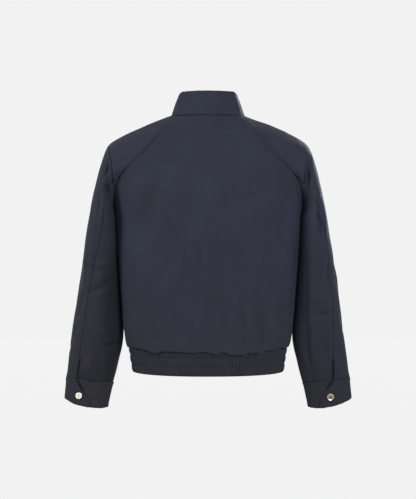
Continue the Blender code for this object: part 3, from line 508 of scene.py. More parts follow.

# Creases, in millimetres on the back or front: half width, depth, then x and z of each point.
# A negative depth is a ridge. Both ends fade out.
creases = {
    "back": [
        (19, 5.5, 116, -160, 141, -227, 166, -315), (17, -2.6, 94, -165, 98, -215, 112, -320),
        (12, -2.6, 182, -215, 190, -290, 196, -360), (6, 2.4, 24, -325, 22, -345, 18, -384),
        (15, -2.0, 34, -300, 38, -345, 44, -420), (13, -2.2, 62, -300, 63, -345, 70, -430),
        (15, 3.4, 175, -330, 184, -420, 190, -500), (13, 3.2, 132, -390, 128, -430, 124, -545),
        (15, -2.6, 96, -380, 88, -460, 82, -550), (17, 4.6, -190, -200, -181, -240, -166, -350),
        (8, -2.4, -208, -180, -209, -240, -207, -330), (12, -3.2, -102, -290, -106, -400, -110, -530),
        (11, 4.2, -122, -460, -122, -520, -128, -560), (12, 5.0, -174, -440, -175, -490, -182, -545),
        (18, 2.6, -150, -250, -138, -340, -138, -430), (15, 2.0, -52, -180, -92, -205, -130, -200),
        (13, 2.6, -30, -420, -44, -480, -50, -550), (10, 3.0, 45, -470, 40, -515, 38, -560),
        (10, 2.0, 8, -430, 4, -490, 0, -556), (9, 2.6, -82, -440, -84, -500, -88, -558),
        (9, 2.8, 158, -460, 160, -510, 164, -556),
    ],
    "front": [
        (20, 5.0, 126, -170, 150, -250, 166, -330), (18, 4.4, -122, -165, -148, -240, -170, -320),
        (16, 2.2, 60, -160, 74, -260, 80, -360), (18, 2.6, -70, -180, -78, -300, -72, -420),
        (13, 3.6, 84, -380, 70, -470, 60, -556), (12, 3.4, -90, -400, -78, -480, -70, -556),
        (13, 4.0, 158, -410, 166, -480, 176, -550), (13, 4.2, -150, -420, -164, -490, -178, -550),
        (8, 2.4, 30, -470, 28, -520, 26, -560), (9, 2.2, -36, -455, -33, -510, -31, -560),
        (10, 3.0, 120, -440, 116, -500, 112, -558), (10, 3.0, -118, -450, -114, -505, -110, -558),
    ],
    "sleeveBack": [
        (8, 6.5, 248, -106, 246, -130, 243, -150), (7, -2.5, 244, -150, 243, -160, 241, -170),
        (6, 6.0, 240, -166, 237, -185, 236, -204), (7, 3.4, 262, -170, 258, -215, 262, -250),
        (6, -3.0, 272, -120, 277, -190, 281, -260), (7, -2.4, 282, -270, 290, -340, 300, -420),
        (5, -1.6, 262, -215, 268, -262, 276, -330, 288, -420), (9, -3.0, 236, -360, 262, -364, 296, -352),
        (11, 3.6, 230, -395, 256, -420, 284, -432), (15, 3.6, 232, -440, 235, -500, 232, -560),
        (6, 6.0, 212, -552, 234, -560, 256, -564), (9, -3.0, 222, -520, 240, -530, 262, -528),
        (12, -3.0, 282, -575, 286, -600, 290, -640), (8, 2.4, 262, -590, 268, -615, 272, -642),
        (7, 2.4, 300, -430, 312, -470, 322, -500), (7, 6.0, -244, -108, -243, -136, -238, -158, -234, -180),
        (6, -2.2, -254, -92, -253, -108, -250, -126), (6, 6.0, -262, -200, -264, -240, -267, -300),
        (5, -3.0, -274, -205, -277, -245, -281, -300), (6, 5.0, -288, -366, -291, -402, -294, -434),
        (8, -3.2, -248, -300, -247, -380, -246, -480, -256, -600),
        (9, 2.2, -240, -420, -264, -400, -286, -392), (9, 3.8, -258, -482, -278, -486, -300, -480),
        (8, -2.2, -262, -452, -284, -446, -306, -440), (7, -2.2, -300, -300, -308, -380, -318, -460),
        (11, 2.6, -276, -530, -284, -570, -290, -620), (9, 2.2, -236, -520, -240, -570, -250, -620),
    ],
    "sleeveFront": [
        (10, 5.0, 246, -110, 250, -160, 252, -205), (10, 3.2, 236, -365, 262, -380, 292, -372),
        (10, 2.8, 232, -405, 256, -425, 284, -428), (9, 2.2, 240, -330, 266, -345, 290, -330),
        (9, 3.0, 262, -560, 284, -582, 318, -590), (10, 5.2, -246, -112, -250, -158, -252, -200),
        (10, 3.2, -234, -370, -262, -392, -292, -388), (10, 2.6, -232, -410, -258, -436, -286, -440),
        (9, 2.0, -244, -334, -270, -350, -292, -340), (9, 3.2, -260, -566, -288, -580, -322, -582),
    ],
    "leftSide": [               # these two lie on the sleeves' outer sides, so their points are (y, z)
        (13, 2.4, 38, -215, 26, -310, 16, -400), (13, 2.8, -26, -140, -42, -230, -40, -320),
        (14, -1.8, 6, -190, 0, -260, -6, -330), (9, 1.8, -64, -378, -40, -370, -14, -376),
        (9, 1.6, -58, -424, -36, -434, -10, -428), (9, 2.4, 22, -505, 2, -548, -26, -572),
        (10, -2.0, -14, -470, -26, -540, -24, -610),
    ],
    "rightSide": [
        (13, 2.6, 34, -180, 20, -280, 12, -380), (12, 2.4, -30, -170, -44, -250, -38, -350),
        (15, -2.0, 2, -150, -4, -230, -10, -300), (10, 1.8, -62, -392, -38, -386, -10, -378),
        (9, 1.8, -56, -440, -34, -446, -10, -442), (10, 2.2, 18, -480, -4, -520, -30, -552),
        (9, 2.2, -10, -540, -22, -580, -30, -625),
    ],
}
crease = {
    "narrow": 0.72, "deep": 1.7,            # the cloth's stiffness: narrower is crisper
    "faces": {"back": (1, 1), "front": (1, -1), "sleeveBack": (1, 1), "sleeveFront": (1, -1),
              "leftSide": (0, 1), "rightSide": (0, -1)},        # axis and sign
    "shown": [(0.27, 0.85), (0.02, 0.5)],   # of the normal along that axis, for X and for Y
    "ends": 0.08, "taper": 0.8, "round": 1.5,
}
foldOver = {                    # where the shoulder's cloth laps over the sleeve, above the underarm
    "left": [(239, -80), (232.5, -103), (229, -125), (226, -150), (223.5, -182)],
    "right": [(-241, -80), (-235.5, -98), (-232, -125), (-229, -150), (-227, -182)],
    "facing": (0.0, 0.35), "beyond": 150.0,
    "starts": (8, -6), "ends": (0, 24),     # beside its two ends
    "depth": (4.0, 7.0),        # at its top and at its bottom
    "step": (-0.6, 2.0), "spread": 20.0,
    "lip": 1.8, "lipPlace": -4.5, "lipWidth": 4.5,
    # where the painted shade along the fold lies, and its width
    "darkPlace": 1.2, "darkWidth": 1.6,
    "finer": 8.0,               # the faces are cut finer this near to it
    # the dimples also get painted shade, as much as their strength
    "blotches": [               # x, z, half width, half length and strength of the dimples beside the fold
        (244, -135, 5.0, 13.0, 0.42), (236.5, -182, 4.0, 9.0, 0.2), (233, -212, 3.0, 16.0, 0.15),
        (-240, -140, 4.5, 12.0, 0.35), (-233, -165, 4.0, 9.0, 0.2), (-262, -225, 3.0, 28.0, 0.25),
    ],
    "blotchDepth": 3.0,
}
hem = {                         # how the body hangs over the waistband
    "from": 34.0,               # it starts to puff this far above the band
    "out": 2.6, "outVaries": 1.6,
    "down": 8.5, "downVaries": 8.0, "downLeast": 0.5,
    "hangsAt": 2.8,             # higher keeps the overhang nearer to the band
    "atSides": 0.12, "sides": (0.01, 0.22),
    "radius": 0.19, "upright": 0.25,        # where its noise is read
    "lump": 0.034,              # metres round the hem from one hanging fold to the next
    "small": 0.45, "smallShare": 0.5,
    "pleat": 2.4, "pleatApart": 0.013, "pleatSharp": 0.13, "pleatReach": 17.0,
    "pleatLeast": 0.75, "pleatVaries": 0.9, "pleatLump": 0.05,
    "levelEdge": 0.35,          # rise over length of the edges that are cut finer
}
drape = {                       # lump, its upright share, height in millimetres and seed
    "body": [(0.055, 0.3, 1.7, 1), (0.024, 0.5, 0.45, 6)],
    "doubled": [(0.045, 1.0, 0.5, 3)],
}


def nearestOnLine(flat, line):
    # Distance from each (x, z) to a polyline, the share along it, and the side it lies on.
    line = np.array(line, float) * mm
    lengths = np.linalg.norm(np.diff(line, axis=0), axis=1)
    best = np.full(len(flat), np.inf)
    along = np.zeros(len(flat))
    sided = np.zeros(len(flat))
    done = 0.0
    for a, b, length in zip(line[:-1], line[1:], lengths):
        way = (b - a) / length
        offset = flat - a
        reach = np.clip(offset @ way, 0, length)
        distance = np.linalg.norm(offset - reach[:, None] * way, axis=1)
        nearer = distance < best
        best[nearer] = distance[nearer]
        along[nearer] = ((done + reach) / lengths.sum())[nearer]
        sided[nearer] = (way[0] * offset[:, 1] - way[1] * offset[:, 0])[nearer]
        done += length
    return best, along, np.sign(sided)


def creaseShift(points, normals, sets):
    # Sum of the creases at the points, along their normals.
    total = np.zeros(len(points))
    for name in sets:
        axis, sign = crease["faces"][name]
        flat = points[:, [1 - axis, 2]]
        shown = smoothStep(normals[:, axis] * sign, *crease["shown"][axis])
        for width, depth, *line in creases[name]:
            distance, along, _ = nearestOnLine(flat, np.reshape(line, (-1, 2)))
            within = np.clip(along * (1 - 2 * crease["ends"]) + crease["ends"], 0, 1)
            taper = np.sin(np.pi * within) ** crease["taper"]
            profile = np.exp(-(distance / (width * crease["narrow"] * mm)) ** crease["round"])
            total -= shown * depth * crease["deep"] * mm * taper * profile
    return total


def foldShift(points, normals):
    # The sleeve's outer strip lies deeper than the shoulder's cloth, behind a crisp fold. Along the fold
    # and in the dimples beside it the cloth also gets painted shade.
    x, _, z = points.T / mm
    total = np.zeros(len(points))
    dark = np.zeros(len(points))
    for side, sign in (("left", 1), ("right", -1)):
        line = foldOver[side]
        distance, along, sided = nearestOnLine(points[:, [0, 2]], line)
        signed = distance * sided * sign / mm
        shown = smoothStep(normals[:, 1], *foldOver["facing"]) * (x * sign > foldOver["beyond"])
        for (_, end), fades in ((line[0], foldOver["starts"]), (line[-1], foldOver["ends"])):
            shown = shown * smoothStep(z, end + fades[0], end + fades[1])
        depth = foldOver["depth"][0] + (foldOver["depth"][1] - foldOver["depth"][0]) * along
        step = smoothStep(signed, *foldOver["step"]) * np.exp(-np.maximum(signed, 0) / foldOver["spread"])
        lip = foldOver["lip"] * bell(signed - foldOver["lipPlace"], foldOver["lipWidth"])
        total += shown * (lip - depth * step) * mm
        # painted shade along the fold line, where the lapped cloth would shade the strip below
        dark += shown * bell(signed - foldOver["darkPlace"], foldOver["darkWidth"])
    for middleX, middleZ, across, length, strength in foldOver["blotches"]:
        near = bell(x - middleX, across) * bell(z - middleZ, length) * (normals[:, 1] > 0)
        total -= near * strength * foldOver["blotchDepth"] * mm
        # painted shade in the dimples
        dark += near * strength
    return total, dark


beside = {                      # below the underarm the body's side and the sleeve lie against each other
    "depth": [(-560, 0.0), (-520, 1.2), (-420, 1.0), (-350, 1.6), (-310, 3.4), (-240, 3.6), (-205, 1.5),
              (-180, 0.0)],     # height and depth
    "facing": (0.05, 0.8),
    # painted shade on the sleeve's inner strip: how much for each piece, then by facing and height
    "dark": {"oversleeve_left": 0.6, "undersleeve_left": 0.6},
    "darkFacing": (-0.2, 0.5), "darkFrom": (-270, -430),
}


def besideShift(points, normals, node):
    inner = -1 if node.startswith(sleeveNodes) else 1
    facing = np.where(points[:, 0] > 0, normals[:, 0], -normals[:, 0]) * inner
    z = points[:, 2] / mm
    # painted shade where the sleeve lies against the body
    dark = smoothStep(facing, *beside["darkFacing"]) * smoothStep(z, *beside["darkFrom"])
    depth = smoothStep(facing, *beside["facing"]) * fromTable(z, beside["depth"])
    return depth * mm, dark * beside["dark"].get(node, 0.0)


placket = {                     # the slit above the cuff: the lower layer sinks beside the upper one's edge
    "from": (-584.0, -600.0), "until": (-647, -641), "beyond": (290, 300),
    "sink": 4.0, "width": 4.5, "rise": 1.2,
    # strength of the painted shade beside the slit, for each undersleeve
    "dark": {"undersleeve_left": 0.9, "undersleeve_right": 0.5},
}
tabs = {                        # the gap beside the edge of the cuff's tab, in shares of the edge's length
    "between": (-702, -652),    # heights between the cuff's top and its hem
    "behind": -8.0, "within": 333.0,        # and where the tab's and the lower end's edges lie
    "upright": 35.0,            # an edge of a cuff's end is at least this tall
    "shortest": 8,              # points of an open line that counts
    "until": (0.58, 0.24),      # the gap fades out
    "deepFrom": (0.0, 0.13),
    # dark is the strength of the painted shade beside the tab's edge
    "sink": 2.3, "width": 5.0, "dark": 0.9,
    "closeFrom": (0.3, 0.6),    # further down the layer below lies close against the tab
    "close": {"cuff_left": 0.0, "cuff_right": 1.8}, "closeWidth": 9.0,
}


def placketShare(points, normals):
    # Where the slit is: above the cuff, on the outer part of the back.
    x, z = abs(points[:, 0]) / mm, points[:, 2] / mm
    shown = smoothStep(z, *placket["from"]) * smoothStep(z, *placket["until"])
    return shown * smoothStep(x, *placket["beyond"]) * (normals[:, 1] > 0)


def placketShift(points, normals, distance, node):
    near = np.exp(-distance / (placket["width"] * mm)) * placketShare(points, normals)
    # The lower layer gets painted shade beside the slit.
    if node.startswith("under"):
        return -near * placket["sink"] * mm, near * placket["dark"][node]
    return near * placket["rise"] * mm, near * 0.0


def heights(node, line):
    return before[node][line][:, 2]


def cuffEdges(node):
    # Sorts the cuff's open edge: the tab's edge from its top down, and the lines of the hem and top.
    loop = list(chainsOf[node][0])
    for chain in chainsOf[node][1:]:
        loop += chain[1:] if chain[0] == loop[-1] else chain[-2::-1]
    loop = loop[:-1]
    low, high = tabs["between"]
    x, y, z = before[node][loop].T / mm
    upright = (z > low) & (z < high) & (y > tabs["behind"]) & (abs(x) < tabs["within"])
    first = int(np.argmin(upright))
    runs, last = [], None
    for number, flag in list(zip(loop, upright))[first:] + list(zip(loop, upright))[:first]:
        if flag != last:
            runs.append([])
        runs[-1].append(number)
        last = flag
    tall = [run for run in runs if np.ptp(heights(node, run)) > tabs["upright"] * mm
            and upright[loop.index(run[0])]]
    edge = max(tall, key=lambda run: before[node][run][:, 1].mean())
    others = [[]]
    for run in runs:
        if run in tall:
            others.append([])
        else:
            others[-1] += run
    down = edge if before[node][edge[0]][2] > before[node][edge[-1]][2] else edge[::-1]
    return down, [line for line in others if len(line) > tabs["shortest"]]


def tabShift(points, normals, node):
    # Beside the top of the tab's edge the layer below sinks and gets painted shade.
    data = made[node].data
    across = readRows(data.uv_layers.active.data, "uv", 2)[:, 0]
    share = np.zeros(len(points))
    share[loopVerts(data)] = across / across.max()
    edge, _ = cuffEdges(node)
    distance, along, _ = nearestOnLine(points[:, [0, 2]], points[edge][:, [0, 2]] / mm)
    distance /= mm
    below = (share > 0.5) != (share[edge].mean() > 0.5)     # the other end of the strip lies under it
    below = below * (normals[:, 1] > 0)
    near = bell(distance, tabs["width"]) * below * smoothStep(along, *tabs["until"])
    sink = tabs["sink"] * smoothStep(along, *tabs["deepFrom"])
    close = bell(distance, tabs["closeWidth"]) * below * smoothStep(along, *tabs["closeFrom"])
    return (close * tabs["close"][node] - near * sink) * mm, near * tabs["dark"]


def hemShift(points):
    # Above the waistband the body puffs out, hangs over the band here and there and is gathered.
    height = points[:, 2] / mm - band["topZ"]
    angle = np.arctan2(points[:, 0], points[:, 1])
    around = np.stack([np.cos(angle) * hem["radius"], np.sin(angle) * hem["radius"],
                       points[:, 2] * hem["upright"]], axis=1)
    share = np.clip(1 - height / hem["from"], 0, 1)
    middle = smoothStep(1 - abs(np.sin(angle)), *hem["sides"])
    hang = np.sin(np.pi * share ** hem["hangsAt"]) * (hem["atSides"] + (1 - hem["atSides"]) * middle)
    coarse = noiseAt(around, hem["lump"], 4)
    coarse += hem["smallShare"] * noiseAt(around, hem["lump"] * hem["small"], 7)
    valley = bell(noiseAt(around, hem["pleatApart"], 9), hem["pleatSharp"])
    strength = hem["pleatLeast"] + hem["pleatVaries"] * noiseAt(around, hem["pleatLump"], 14)
    pleats = -hem["pleat"] * valley * strength * np.exp(-np.maximum(height, 0) / hem["pleatReach"])
    out = hang * (hem["out"] + hem["outVaries"] * coarse) + pleats
    down = hang * (hem["down"] + hem["downVaries"] * coarse).clip(hem["downLeast"])
    return out * mm, down * mm


handling = {                    # height, and how grey the much handled cloth has become there
    "body": [(-600, 0.75), (-555, 0.5), (-500, 0.05), (-400, 0.0)],
    "left": [(-640, 0.9), (-420, 0.75), (-330, 0.55), (-200, 0.1), (-120, 0.0)],
    "right": [(-660, 0.8), (-560, 0.4), (-400, 0.15), (-250, 0.0)],
}


def greyedAt(points, node):
    kind = node.split("_")[1] if node.startswith(armNodes) else "body"
    return fromTable(points[:, 2] / mm, handling[kind])


def edgeDistance(points, chains):
    # How near each point is to an open edge, and which point of the edge that is.
    tree = KDTree(sum(len(chain) for chain in chains))
    for chain in chains:
        for number in chain:
            tree.insert(points[number], number)
    tree.balance()
    found = [tree.find(p) for p in points]
    return np.array([gap for _, _, gap in found]), np.array([number for _, number, _ in found])


seam = {
    "edgeStrip": 1.2, "stripShare": 0.45,   # width of the strip that turns down into the seam
    "turnIn": 2.2,              # how far the edge turns in
    "turnWidth": 1.9,
    "strength": [(-640, 0.42), (-620, 1.0), (-60, 1.0), (-15, 0.35)],   # height and share
    "allowance": 0.3,           # how much the seam allowance lifts the cloth beside it
    "allowanceEnds": (6.5, 9.5),
    "dark": 0.24, "darkWidth": 1.7,         # painted shade in the seam's groove
    "pucker": 0.8, "puckerLength": 8.0, "puckerReach": 9.0,
    "sharedWithin": 2.6,        # edges nearer than this are sewn to each other
    "sharedReach": 6.0,
    "sharedWay": 0.88,          # and only where they run the same way: cosine of the angle
    "evened": 8, "evenedNormals": 2,        # passes that even out the meeting line along the seam
    "turnUnder": 3.0,           # the allowance behind the seam
    "behind": 2.6,              # the lower piece's allowance lies behind the upper piece
    "slideUnder": 5.0,          # how far the body and sleeves reach into the band and the cuffs
    "bandSewn": -565.5, "intoBand": -560.34, "intoCuff": -620.0,        # heights below which they do
    "slant": 0.1,
}


def seamStrength(points):
    return fromTable(points[:, 2] / mm, seam["strength"])


def sewnShift(points, distance):
    edge = -seam["turnIn"] * seamStrength(points) * bell(distance, seam["turnWidth"] * mm)
    lifted = seam["allowance"] * (1 - smoothStep(distance / mm, *seam["allowanceEnds"]))
    wave = noiseAt(points, seam["puckerLength"] * mm, 2) * seam["pucker"]
    return (edge + lifted + wave * np.exp(-distance / (seam["puckerReach"] * mm))) * mm


panels = {                      # node: piece, creases that cross it, levels of subdivision, thickness
    "back": ("backPanel", ["back"], 3, 1.3),
    "front_left": ("leftFront", ["front"], 3, 1.3),
    "front_right": ("rightFront", ["front"], 3, 1.3),
    "oversleeve_left": ("leftOversleeve", ["sleeveBack", "sleeveFront", "leftSide"], 3, 1.3),
    "oversleeve_right": ("rightOversleeve", ["sleeveBack", "sleeveFront", "rightSide"], 3, 1.3),
    "undersleeve_left": ("leftUndersleeve", ["sleeveBack", "sleeveFront"], 3, 1.3),
    "undersleeve_right": ("rightUndersleeve", ["sleeveBack", "sleeveFront"], 3, 1.3),
    "collar": ("standCollar", [], 2, 2.0),
    "cuff_left": ("leftCuff", [], 3, 2.0),
    "cuff_right": ("rightCuff", [], 3, 2.0),
}
made, flatSizes = {}, {}        # node: its piece; its flat width, length and area
chainsOf, waysOf, inwards, before, normalsOf, sewnTo = {}, {}, {}, {}, {}, {}
shifts, downs, shades = {}, {}, {}


def setAttribute(data, name, values):
    attribute = data.attributes.new(name, "FLOAT", "POINT")
    attribute.data.foreach_set("value", values.astype(np.float32))


def thicken(item, thickness):
    shell = item.modifiers.new("Thickness", "SOLIDIFY")
    shell.thickness = thickness * mm
    shell.offset = -1.0


def cutFiner(mesh, node):
    # Closer faces where the cloth is gathered above the waistband, and along the shoulder's fold.
    if node in bodyNodes:
        top = (band["topZ"] + hem["from"]) * mm
        level = [edge for edge in mesh.edges if max(v.co.z for v in edge.verts) < top
                 and abs(edge.verts[0].co.z - edge.verts[1].co.z) < edge.calc_length() * hem["levelEdge"]]
        bmesh.ops.subdivide_edges(mesh, edges=level, cuts=1)
    elif node.startswith("over"):
        faces = [face for face in mesh.faces if face.normal.y > 0]
        places = np.array([face.calc_center_median() for face in faces])
        distance, _, _ = nearestOnLine(places[:, [0, 2]], foldOver[node.split("_")[1]])
        near = [face for face, gap in zip(faces, distance) if gap < foldOver["finer"] * mm]
        edges = list({edge for face in near for edge in face.edges})
        bmesh.ops.subdivide_edges(mesh, edges=edges, cuts=2, use_grid_fill=True)


def edgeStrip(mesh):
    # A narrow strip of faces along the open edges, so that the cloth can turn down there.
    across = [e for e in mesh.edges if e.verts[0].is_boundary != e.verts[1].is_boundary]
    grown = bmesh.ops.subdivide_edges(mesh, edges=across, cuts=1)
    new = {v for v in grown["geom_inner"] if isinstance(v, bmesh.types.BMVert)}
    for vert in new:
        ends = [edge.other_vert(vert) for edge in vert.link_edges]
        rim = [v for v in ends if v.is_boundary]
        inner = [v for v in ends if not v.is_boundary and v not in new]
        if rim and inner:
            way = inner[0].co - rim[0].co
            vert.co = rim[0].co + way * min(seam["stripShare"], seam["edgeStrip"] * mm / way.length)


def makePanel(node):
    # The panel at rest: flat size, fine faces, and the measures that its creases need.
    item = makeObject(panels[node][0], outerSide(node), materials["cloth"])
    flatSizes[node] = unwrapped(item)
    subdivided(item, panels[node][2])
    mesh = meshOf(item.data)
    cutFiner(mesh, node)
    edgeStrip(mesh)
    chainsOf[node] = edgeChains(mesh)
    mesh.verts.ensure_lookup_table()
    inwards[node] = {}
    for number in {n for chain in chainsOf[node] for n in chain}:
        vert = mesh.verts[number]
        ways = [e.other_vert(vert).co - vert.co for e in vert.link_edges if not e.is_boundary]
        inwards[node][number] = np.array(sum(ways, Vector()).normalized() if ways else (0, 0, 0))
    putBack(mesh, item.data)
    made[node] = item
    before[node] = coordinates(item.data)
    normalsOf[node] = readRows(item.data.vertex_normals, "vector", 3)
    for chain in chainsOf[node]:
        for number, way in zip(chain, unit(np.gradient(before[node][chain], axis=0))):
            waysOf.setdefault((node, number), []).append(way)


def evened(values, passes):
    # Evens out values along a chain.
    for _ in range(passes):
        ends = np.concatenate([values[:1], values, values[-1:]])
        values = (ends[:-2] + 2 * values + ends[2:]) / 4
    return values


def shareNormals():
    # Where two pieces are sewn together, both move along the same normal.
    owners = [(node, n) for node, chains in chainsOf.items() for n in {n for c in chains for n in c}]
    tree = KDTree(len(owners))
    for index, (node, number) in enumerate(owners):
        tree.insert(before[node][number], index)
    tree.balance()
    shared = []
    for node, number in owners:
        closest = {node: (0.0, number)}
        for _, index, gap in tree.find_range(before[node][number], seam["sharedWithin"] * mm):
            other, otherNumber = owners[index]
            if other == node or other in closest and gap >= closest[other][0]:
                continue
            turns = [abs(a.dot(b)) for a in waysOf[node, number] for b in waysOf[other, otherNumber]]
            if max(turns) > seam["sharedWay"]:
                closest[other] = (gap, otherNumber)
        total = sum(normalsOf[other][k] for other, (_, k) in closest.items())
        shared.append(total / np.linalg.norm(total))
        if len(closest) > 1:
            sewnTo[node, number] = [(other, k) for other, (_, k) in closest.items()]
    for (node, number), normal in zip(owners, shared):
        normalsOf[node][number] = normal
    for node, chains in chainsOf.items():
        for chain in chains:
            normalsOf[node][chain] = unit(evened(normalsOf[node][chain], seam["evenedNormals"]))


def measurePanel(node):
    # Creases, gathers and puckers of one panel.
    points, normals, sets = before[node], normalsOf[node], panels[node][1]
    distance, _ = edgeDistance(points, chainsOf[node])
    shift = sewnShift(points, distance)
    down = np.zeros(len(points))
    # painted shade of the panel, gathered from the steps below
    shade = np.zeros(len(points))
    for lump, upright, height, seed in drape["body" if sets else "doubled"]:
        shift += noiseAt(points * (1, 1, upright), lump, seed) * height * mm
    if sets:
        shift += creaseShift(points, normals, sets)
        pressed, shade = besideShift(points, normals, node)
        shift += pressed
        if "sleeveBack" in sets:
            folded, dark = foldShift(points, normals)
            opened, slit = placketShift(points, normals, distance, node)
            shift += folded + opened
            shade += dark + slit
        else:
            out, down = hemShift(points)
            shift += out
    elif node.startswith("cuff"):
        opened, shade = tabShift(points, normals, node)
        shift += opened
    shifts[node], downs[node], shades[node] = shift, down, shade


def moved(node, number):
    place = before[node][number] + normalsOf[node][number] * shifts[node][number]
    return place - (0, 0, downs[node][number])


def turnUnder(item, node):
    # The seam allowance: each sewn edge turns in behind its neighbour. Free edges stay.
    mesh = meshOf(item.data)
    mesh.verts.ensure_lookup_table()
    numbers = {v: v.index for v in mesh.verts}
    rim = [e for e in mesh.edges if e.is_boundary and all((node, v.index) in sewnTo for v in e.verts)]
    grown = bmesh.ops.extrude_edge_only(mesh, edges=rim)
    for vert in [v for v in grown["geom"] if isinstance(v, bmesh.types.BMVert)]:
        old = next(numbers[o] for o in (e.other_vert(vert) for e in vert.link_edges) if o in numbers)
        x, _, z = before[node][old]
        way = -Vector(normalsOf[node][old]) * seam["turnUnder"]
        if node.startswith(("back", "front", "under")):
            way -= Vector(inwards[node][old]) * seam["behind"]
        if node in bodyNodes and z < seam["intoBand"] * mm:
            way += Vector((0, 0, -seam["slideUnder"]))
        elif node.startswith(sleeveNodes) and z < seam["intoCuff"] * mm:
            way += Vector((math.copysign(seam["slant"], x), 0, -1)) * seam["slideUnder"]
        vert.co += way * mm
    putBack(mesh, item.data)


def shapePanel(node):
    # Moves the panel to its shape, then adds the allowance behind each seam and the cloth's thickness.
    item, points, normals = made[node], before[node], normalsOf[node]
    distance, nearest = edgeDistance(points, chainsOf[node])
    level = np.zeros((len(points), 3))      # sewn edges meet halfway between their two pieces
    for chain in chainsOf[node]:
        for number, way in zip(chain, unit(np.gradient(points[chain], axis=0))):
            gap = np.mean([moved(*end) for end in sewnTo.get((node, number), [(node, number)])], axis=0)
            gap = gap - moved(node, number)
            level[number] = gap - way * gap.dot(way)
        level[chain] = evened(level[chain], seam["evened"])
    if node.startswith(sleeveNodes):
        level *= 1 - placketShare(points, normals)[:, None]
    level = level[nearest] * np.exp(-distance / (seam["sharedReach"] * mm))[:, None]
    points = points + normals * shifts[node][:, None] - np.outer(downs[node], (0, 0, 1)) + level
    # Painted shade along the seams, added to the panel's other painted shade in one attribute.
    groove = bell(distance, seam["darkWidth"] * mm) * seam["dark"] * seamStrength(points)
    setAttribute(item.data, "greyed", greyedAt(points, node))
    setAttribute(item.data, "paintedShade", np.clip(groove + shades[node], 0, 1))
    item.data.vertices.foreach_set("co", points.ravel())
    turnUnder(item, node)
    thicken(item, panels[node][3])
    item.data.shade_smooth()
    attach(item, jacket)
    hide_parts(node)


for node in panels:
    makePanel(node)
shareNormals()
for node in bodyNodes:          # sewn to the waistband, which is made later
    low = [n for n in inwards[node] if before[node][n][2] < seam["bandSewn"] * mm]
    sewnTo.update({(node, n): [(node, n)] for n in low})
for node in panels:
    measurePanel(node)
for node in panels:
    shapePanel(node)
    print(panels[node][0], "made,", len(made[node].data.polygons), "faces")


def bandPlace(turn, down):
    # A place on the waistband: turn goes round from the left front edge, down from its top to its hem.
    halfWidth, backY, frontY = [a + (b - a) * down for a, b in zip(band["topHalf"], band["bottomHalf"])]
    square = band["square"][0] + (band["square"][1] - band["square"][0]) * down
    edge = np.arcsin(band["edge"] / halfWidth)
    angle = math.pi + edge + (2 * math.pi - 2 * edge) * turn
    across = np.sin(angle)
    depth = (1 - np.abs(across) ** square).clip(0) ** (1 / square)
    reach = np.where(np.cos(angle) > 0, backY, frontY) - band["sideY"]
    z = band["topZ"] + (band["bottomZ"] - band["topZ"]) * down - band["sag"] * down * np.cos(angle).clip(0)
    return np.stack([halfWidth * across, band["sideY"] + reach * depth, z], axis=1) * mm


def awayFrom(steps):
    # Level normals beside the steps of a line round the waistband.
    return unit(np.stack([-steps[:, 1], steps[:, 0], steps[:, 2] * 0], axis=1))


def faceOut(data, away):
    # Turns the faces over where they look inwards on the whole.
    mesh = meshOf(data)
    if sum(face.normal.dot(away(face)) for face in mesh.faces) < 0:
        bmesh.ops.reverse_faces(mesh, faces=mesh.faces[:])
    putBack(mesh, data)


def makeWaistband():
    mesh = bmesh.new()
    mesh.loops.layers.uv.new("cut")
    bmesh.ops.create_grid(mesh, x_segments=band["columns"], y_segments=band["rows"], size=0.5,
                          calc_uvs=True)
    item = makeObject("gatheredWaistband", mesh, materials["cloth"])
    data = item.data
    turn = coordinates(data)[:, 0] + 0.5
    down = 0.5 - coordinates(data)[:, 1]
    step = 1e-4
    steps = bandPlace(np.minimum(turn + step, 1), down) - bandPlace(np.maximum(turn - step, 0), down)
    rows = np.array((0.0,) + band["rowsOfStitches"] + (1.0,))
    channel = np.searchsorted(rows[1:-1], down)
    within = np.clip((down - rows[channel]) / (rows[channel + 1] - rows[channel]), 0, 1)
    puff = np.sin(math.pi * within) ** band["puffed"]
    line = np.stack([turn * band["around"], channel * band["channelApart"] + within * band["channelShare"],
                     within * 0], axis=1)
    drift = sum(noiseAt(line, lump, seed) * share for lump, seed, share in band["drift"])
    wave = np.abs(np.cos(math.pi * (turn * band["gathers"] + drift * band["drifts"]))) ** band["sharp"]
    usual, varies = band["strength"]
    strength = usual + varies * noiseAt(line, band["strengthLump"], 12)
    ends = smoothStep(np.minimum(turn, 1 - turn), 0.0, band["endFade"])
    least, more = band["puffBy"]
    height = band["puff"] * puff * (least + more * strength)
    least, more = band["gatherBy"]
    height += band["gatherDepth"] * wave * strength * (least + more * puff) * ends
    height = np.where(down < band["lipUntil"], -band["lip"], height)
    points = bandPlace(turn, down) + awayFrom(steps) * (height * mm)[:, None]
    data.vertices.foreach_set("co", points.ravel())
    layer = data.uv_layers.active.data
    layer.foreach_set("uv", (readRows(layer, "uv", 2) * band["flat"]).ravel())
    data.update()
    # Painted shade in the hollows between gathers and along the stitched rows.
    hollow = (band["hollowUnder"] - wave).clip(0) * band["hollowDark"]
    setAttribute(data, "paintedShade", hollow + band["stitchedDark"] * (1 - puff))
    setAttribute(data, "greyed", greyedAt(points, "waistband"))
    faceOut(data, lambda face: face.calc_center_median().xy.to_3d())
    thicken(item, band["thickness"])
    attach(item, jacket)
    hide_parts("waistband")
    made["waistband"] = item


makeWaistband()
print("waistband made")

